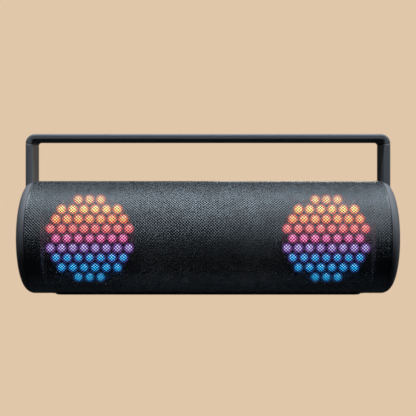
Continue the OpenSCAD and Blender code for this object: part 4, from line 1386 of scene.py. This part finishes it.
class Button:
    """One button: a dished cap, its hidden flange and stem, and a raised mark."""

    def __init__(self, frame: Frame, node: str, mark: Mark,
                 sizes: ButtonSizes = ButtonSizes()) -> None:
        """Keeps the sizes and reads the button's place along X.

        Args:
            frame: the cylinder.
            node: the button's CAD node.
            mark: what is raised on its cap.
            sizes: the buttons.
        """
        self.frame, self.node, self.mark, self.sizes = frame, node, mark, sizes
        low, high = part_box(node)
        a = math.radians(sizes.angle)
        axes = np.array([[1, 0, 0], [0, math.cos(a), -math.sin(a)], [0, math.sin(a), math.cos(a)]])
        self.place = Placement(np.array([(low.x + high.x) / 2, 0, frame.axis]), axes)
        self.radius = sizes.large if mark is Mark.PLAY else sizes.small

    def _top(self, x: Array, w: Array) -> Array:
        """Gives the cap's height: sqrt((R + proud)^2 - w^2) less dish (1 - share^2).

        Args:
            x: places along X from the middle of the cap.
            w: places round the cylinder from the middle of the cap.

        Returns:
            Heights over the axis.
        """
        s = self.sizes
        curve = np.sqrt((self.frame.radius + s.proud) ** 2 - w**2)
        share = np.clip(np.hypot(x, w) / self.radius, 0, 1)
        return curve - s.dish * (1 - share**2)

    def _cap(self) -> Part:
        """Stacks the loops of the cap, the flange and the stem.

        Returns:
            The mesh of the button.
        """
        s = self.sizes
        a = np.linspace(0, 2 * np.pi, s.segments, endpoint=False)
        turn = np.radians(np.linspace(90, 0, 7))
        flat = self.radius - s.edge
        radii = np.concatenate([np.linspace(*s.top_span, s.top_rings) * flat,
                                flat + s.edge * np.cos(turn)])
        drops = np.concatenate([np.zeros(s.top_rings), s.edge * (1 - np.sin(turn))])
        x, w = radii[:, None] * np.cos(a), radii[:, None] * np.sin(a)
        upper = np.stack([x, w, self._top(x, w) - drops[:, None]], -1)
        low = s.flange_top - s.flange
        lower = np.array([(self.radius, s.flange_top), (self.radius + s.flange, s.flange_top),
                          (self.radius + s.flange, low), (s.stem, low), (s.stem, s.stem_low)])
        x, w = lower[:, :1] * np.cos(a), lower[:, :1] * np.sin(a)
        under = np.stack([x, w, lower[:, 1:] + 0 * x], -1)
        points, faces = skin(np.concatenate([upper, under]))
        return self.place.put(points), faces

    def _strokes(self) -> list[tuple[Array, bool]]:
        """Draws the mark.

        Returns:
            Its lines as points in millimetres, each with whether it is closed.
        """
        ring = arc((0, 0), 1.3, 0, 360, 25)[:-1]
        bar = np.array([(-2.2, 0), (2.2, 0)])
        rays = [(np.array([(1.9, 0), (2.9, 0)]) @ turn_2d(45 * k), False) for k in range(8)]
        triangle = np.array([(-2.9, -2), (-2.9, 2), (0.3, 0)])
        shapes = {
            Mark.POWER: [(arc((0, 0), 2.3, 125, 415, 30), False),
                         (np.array([(0, 0.4), (0, 2.9)]), False)],
            Mark.PAIRING: [(arc((-1.6, 0), r, -42, 42, 14), False) for r in (1.2, 2.5, 3.8)],
            Mark.MINUS: [(bar, False)],
            Mark.PLUS: [(bar, False), (bar[:, ::-1], False)],
            Mark.PLAY: [(triangle, True), (np.array([(1.7, -2), (1.7, 2)]), False),
                        (np.array([(3.1, -2), (3.1, 2)]), False)],
            Mark.LIGHT: [(ring, True), *rays],
            Mark.LINK: [(arc((c, 0), 1.7, 0, 360, 29)[:-1], True) for c in (-1.3, 1.3)],
        }
        return shapes[self.mark]

    def _stroke(self, line: Array, closed: bool) -> Part:
        """Lays a flat ribbon along a line: P = line +- n width / 2, on the cap and raised.

        Args:
            line: points in millimetres.
            closed: joins the last point to the first.

        Returns:
            The mesh of the ribbon.
        """
        s = self.sizes
        if closed:
            along = np.roll(line, -1, 0) - np.roll(line, 1, 0)
        else:
            steps = np.linspace(0, len(line) - 1, max(len(line), 8))
            line = np.stack([np.interp(steps, np.arange(len(line)), line[:, k]) for k in (0, 1)],
                            -1)
            along = np.gradient(line, axis=0)
        along /= np.linalg.norm(along, axis=1, keepdims=True)
        normal = along[:, ::-1] * np.array([1, -1])
        offsets = np.array([-1, -s.shoulder, s.shoulder, 1]) * s.stroke / 2
        lifts = np.array([-s.sunk, s.raised, s.raised, -s.sunk])
        flat = line[:, None] * MM + offsets[:, None] * normal[:, None]
        z = self._top(flat[..., 0], flat[..., 1]) + lifts
        points, faces = skin(np.concatenate([flat, z[..., None]], -1), wrap_rows=closed)
        return self.place.put(points), faces

    def build(self) -> None:
        """Builds the cap and its mark."""
        dress(make_piece(f"{self.node}_cap", self._cap(), 50), BUTTON, self.node,
              "button_rubber", self.node)
        mark = merge(self._stroke(line, closed) for line, closed in self._strokes())
        dress(make_piece(f"{self.node}_mark", mark, 20), MARK, self.node, "button_rubber",
              self.node)


def turn_2d(degrees: float) -> Array:
    """Gives the matrix that turns row points by that angle."""
    a = math.radians(degrees)
    return np.array([[math.cos(a), math.sin(a)], [-math.sin(a), math.cos(a)]])


BUTTONS: dict[str, Mark] = {
    "power_button": Mark.POWER,
    "pairing_button": Mark.PAIRING,
    "volume_down_button": Mark.MINUS,
    "play_button": Mark.PLAY,
    "volume_up_button": Mark.PLUS,
    "light_button": Mark.LIGHT,
    "party_link_button": Mark.LINK,
}


# ---- Parts that keep their CAD shape ----


def refinish(nodes: dict[str, bpy.types.Object], finish: Finish | RowLight, *names: str) -> None:
    """Gives CAD nodes a detailed material in place of the plain one.

    Args:
        nodes: the CAD nodes by name.
        finish: what their surface is.
        *names: the nodes to dress.
    """
    for name in names:
        mesh = nodes[name].data
        for index in range(len(mesh.materials)):
            mesh.materials[index] = finish.material()
        log.info("%s: %s", name, finish.name)


def both(*names: str) -> tuple[str, ...]:
    """Gives the left and the right node of each name."""
    return tuple(side.name_of(name) for name in names for side in Side)


CAD_FINISHES: dict[Finish, tuple[str, ...]] = {
    DARK: ("control_panel", "port_bay"),
    RUBBER: ("port_door", *both("driver_surround")),
    CABINET: ("cabinet_shell", "front_baffle", *both("passive_frame")),
    FOAM: ("baffle_gasket",),
    STEEL: ("driver_screws", "door_pin", "usb_sockets", "wireless_module"),
    BLACK_STEEL: ("handle_screws", "baffle_screws", "light_screws", "end_cap_screws"),
    BASKET: both("driver_basket"),
    FERRITE: both("driver_motor"),
    PAPER: both("driver_cone"),
    CLOTH: both("driver_spider"),
    BOARD_BLACK: both("light_board"),
    BOARD_GREEN: ("control_board", "port_board", "main_board"),
    GUIDE: ("status_light",),
    BLACK_PLASTIC: ("aux_jack", "mic_jack", "battery_holder"),
    WRAP: ("battery_cells",),
    SINK: ("heat_sink",),
}


# ---- Studio ----


@dataclass(frozen=True)
class Lamp:
    """A soft rectangular lamp: its direction from the object, distance, size and power."""

    name: str
    azimuth: float
    elevation: float
    distance: float
    width: float
    height: float
    watts: float
    colour: Colour = (255, 255, 255)


@dataclass(frozen=True)
class StudioSizes:
    """The camera and the plain background."""

    distance: float = 0.862
    rise: float = 0.0337
    lens: float = 64.0
    sensor: float = 36.0
    clip: tuple[float, float] = (0.01, 100.0)
    background: Colour = (225, 199, 170)
    floor: float = 12.0
    sharpness: float = 1.6
    fill: float = 0.04
    fill_colour: Colour = (205, 213, 222)
    lamps: tuple[Lamp, ...] = (
        Lamp("key", 0, 80, 1.3, 1.4, 0.85, 62, (240, 247, 255)),
        Lamp("back", 160, 12, 1.6, 1.1, 0.34, 5, (255, 244, 230)),
        Lamp("left", -70, 30, 1.4, 0.5, 0.8, 0.8, (240, 246, 255)),
        Lamp("right", 86, 30, 1.4, 0.5, 0.8, 10, (240, 246, 255)),
        Lamp("under", 180, -55, 1.0, 1.2, 0.2, 0.2, (200, 220, 255)),
    )


class Studio:
    """The floor, the lamps and the camera."""

    def __init__(self, frame: Frame, sizes: StudioSizes = StudioSizes()) -> None:
        """Keeps the sizes."""
        self.frame, self.sizes = frame, sizes

    def _world(self) -> None:
        """Shows the plain background to the camera and gives a soft fill to everything else."""
        s = self.sizes
        world = bpy.data.worlds.new("studio")
        world.use_nodes = True
        tree = world.node_tree
        tree.nodes.clear()
        seen, fill, mix, path, out = (tree.nodes.new(f"ShaderNode{kind}") for kind in (
            "Background", "Background", "MixShader", "LightPath", "OutputWorld"))
        seen.inputs[0].default_value = linear(s.background)
        fill.inputs[0].default_value = linear(s.fill_colour)
        fill.inputs[1].default_value = s.fill
        tree.links.new(path.outputs["Is Camera Ray"], mix.inputs[0])
        tree.links.new(fill.outputs[0], mix.inputs[1])
        tree.links.new(seen.outputs[0], mix.inputs[2])
        tree.links.new(mix.outputs[0], out.inputs[0])
        bpy.context.scene.world = world

    def _floor(self) -> None:
        """Lays a plain pale floor that only the camera sees."""
        half = self.sizes.floor
        corners = np.array([(-1, -1, 0), (1, -1, 0), (1, 1, 0), (-1, 1, 0)], float) * half
        floor = make_piece("floor", (corners, [np.array([[0, 1, 2, 3]])]), 0, outward=False)
        nodes = Nodes("floor_pale")
        glow = nodes.add("ShaderNodeEmission", Strength=1.0)
        glow.inputs[0].default_value = linear(self.sizes.background)
        floor.data.materials.append(nodes.finish(glow.outputs[0]))
        floor.visible_diffuse = floor.visible_glossy = floor.visible_shadow = False
        floor.visible_transmission = False

    def _lamp(self, lamp: Lamp) -> None:
        """Hangs one lamp and turns it to the middle of the cylinder.

        Args:
            lamp: the lamp.
        """
        a, e = math.radians(lamp.azimuth), math.radians(lamp.elevation)
        away = Vector((math.sin(a) * math.cos(e), -math.cos(a) * math.cos(e), math.sin(e)))
        data = bpy.data.lights.new(lamp.name, "AREA")
        data.shape, data.size, data.size_y = "RECTANGLE", lamp.width, lamp.height
        data.energy, data.color = lamp.watts, linear(lamp.colour)[:3]
        light = bpy.data.objects.new(lamp.name, data)
        light.location = Vector((0, 0, self.frame.axis)) + away * lamp.distance
        light.rotation_mode = "QUATERNION"
        light.rotation_quaternion = away.to_track_quat("Z", "Y")
        light.visible_camera = False
        bpy.context.scene.collection.objects.link(light)

    def _camera(self) -> None:
        """Sets the camera level in front of the speaker."""
        s = self.sizes
        data = bpy.data.cameras.new("camera")
        data.sensor_width, data.lens = s.sensor, s.lens
        data.clip_start, data.clip_end = s.clip
        camera = bpy.data.objects.new("camera", data)
        camera.location = (0, -s.distance, self.frame.axis + s.rise)
        camera.rotation_euler = (math.pi / 2, 0, 0)
        bpy.context.scene.collection.objects.link(camera)
        bpy.context.scene.camera = camera

    def build(self) -> None:
        """Builds the studio and sets how colours and fine detail are shown.

        With no prefilter the denoiser keeps the holes of the grille.
        """
        self._world()
        self._floor()
        for lamp in self.sizes.lamps:
            self._lamp(lamp)
        self._camera()
        view = bpy.context.scene.view_settings
        view.view_transform, view.look = "Standard", "None"
        cycles = bpy.context.scene.cycles
        cycles.filter_width = self.sizes.sharpness
        cycles.denoising_prefilter = "NONE"


def main() -> None:
    """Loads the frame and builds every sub-assembly in order."""
    logging.basicConfig(level=logging.INFO, format="%(name)s: %(message)s")
    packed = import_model()
    nodes = packed["nodes"]
    frame = Frame.read()
    Grille(frame, grille_windows()).build()
    Handle(frame).build()
    Foot(frame).build()
    for side in Side:
        EndCap(frame, side).build()
        PassiveRadiator(frame, side).build()
        LightPanel(side).build(nodes)
    for node, mark in BUTTONS.items():
        Button(frame, node, mark).build()
    for finish, names in CAD_FINISHES.items():
        refinish(nodes, finish, *names)
    Studio(frame).build()


if __name__ == "__main__":
    main()
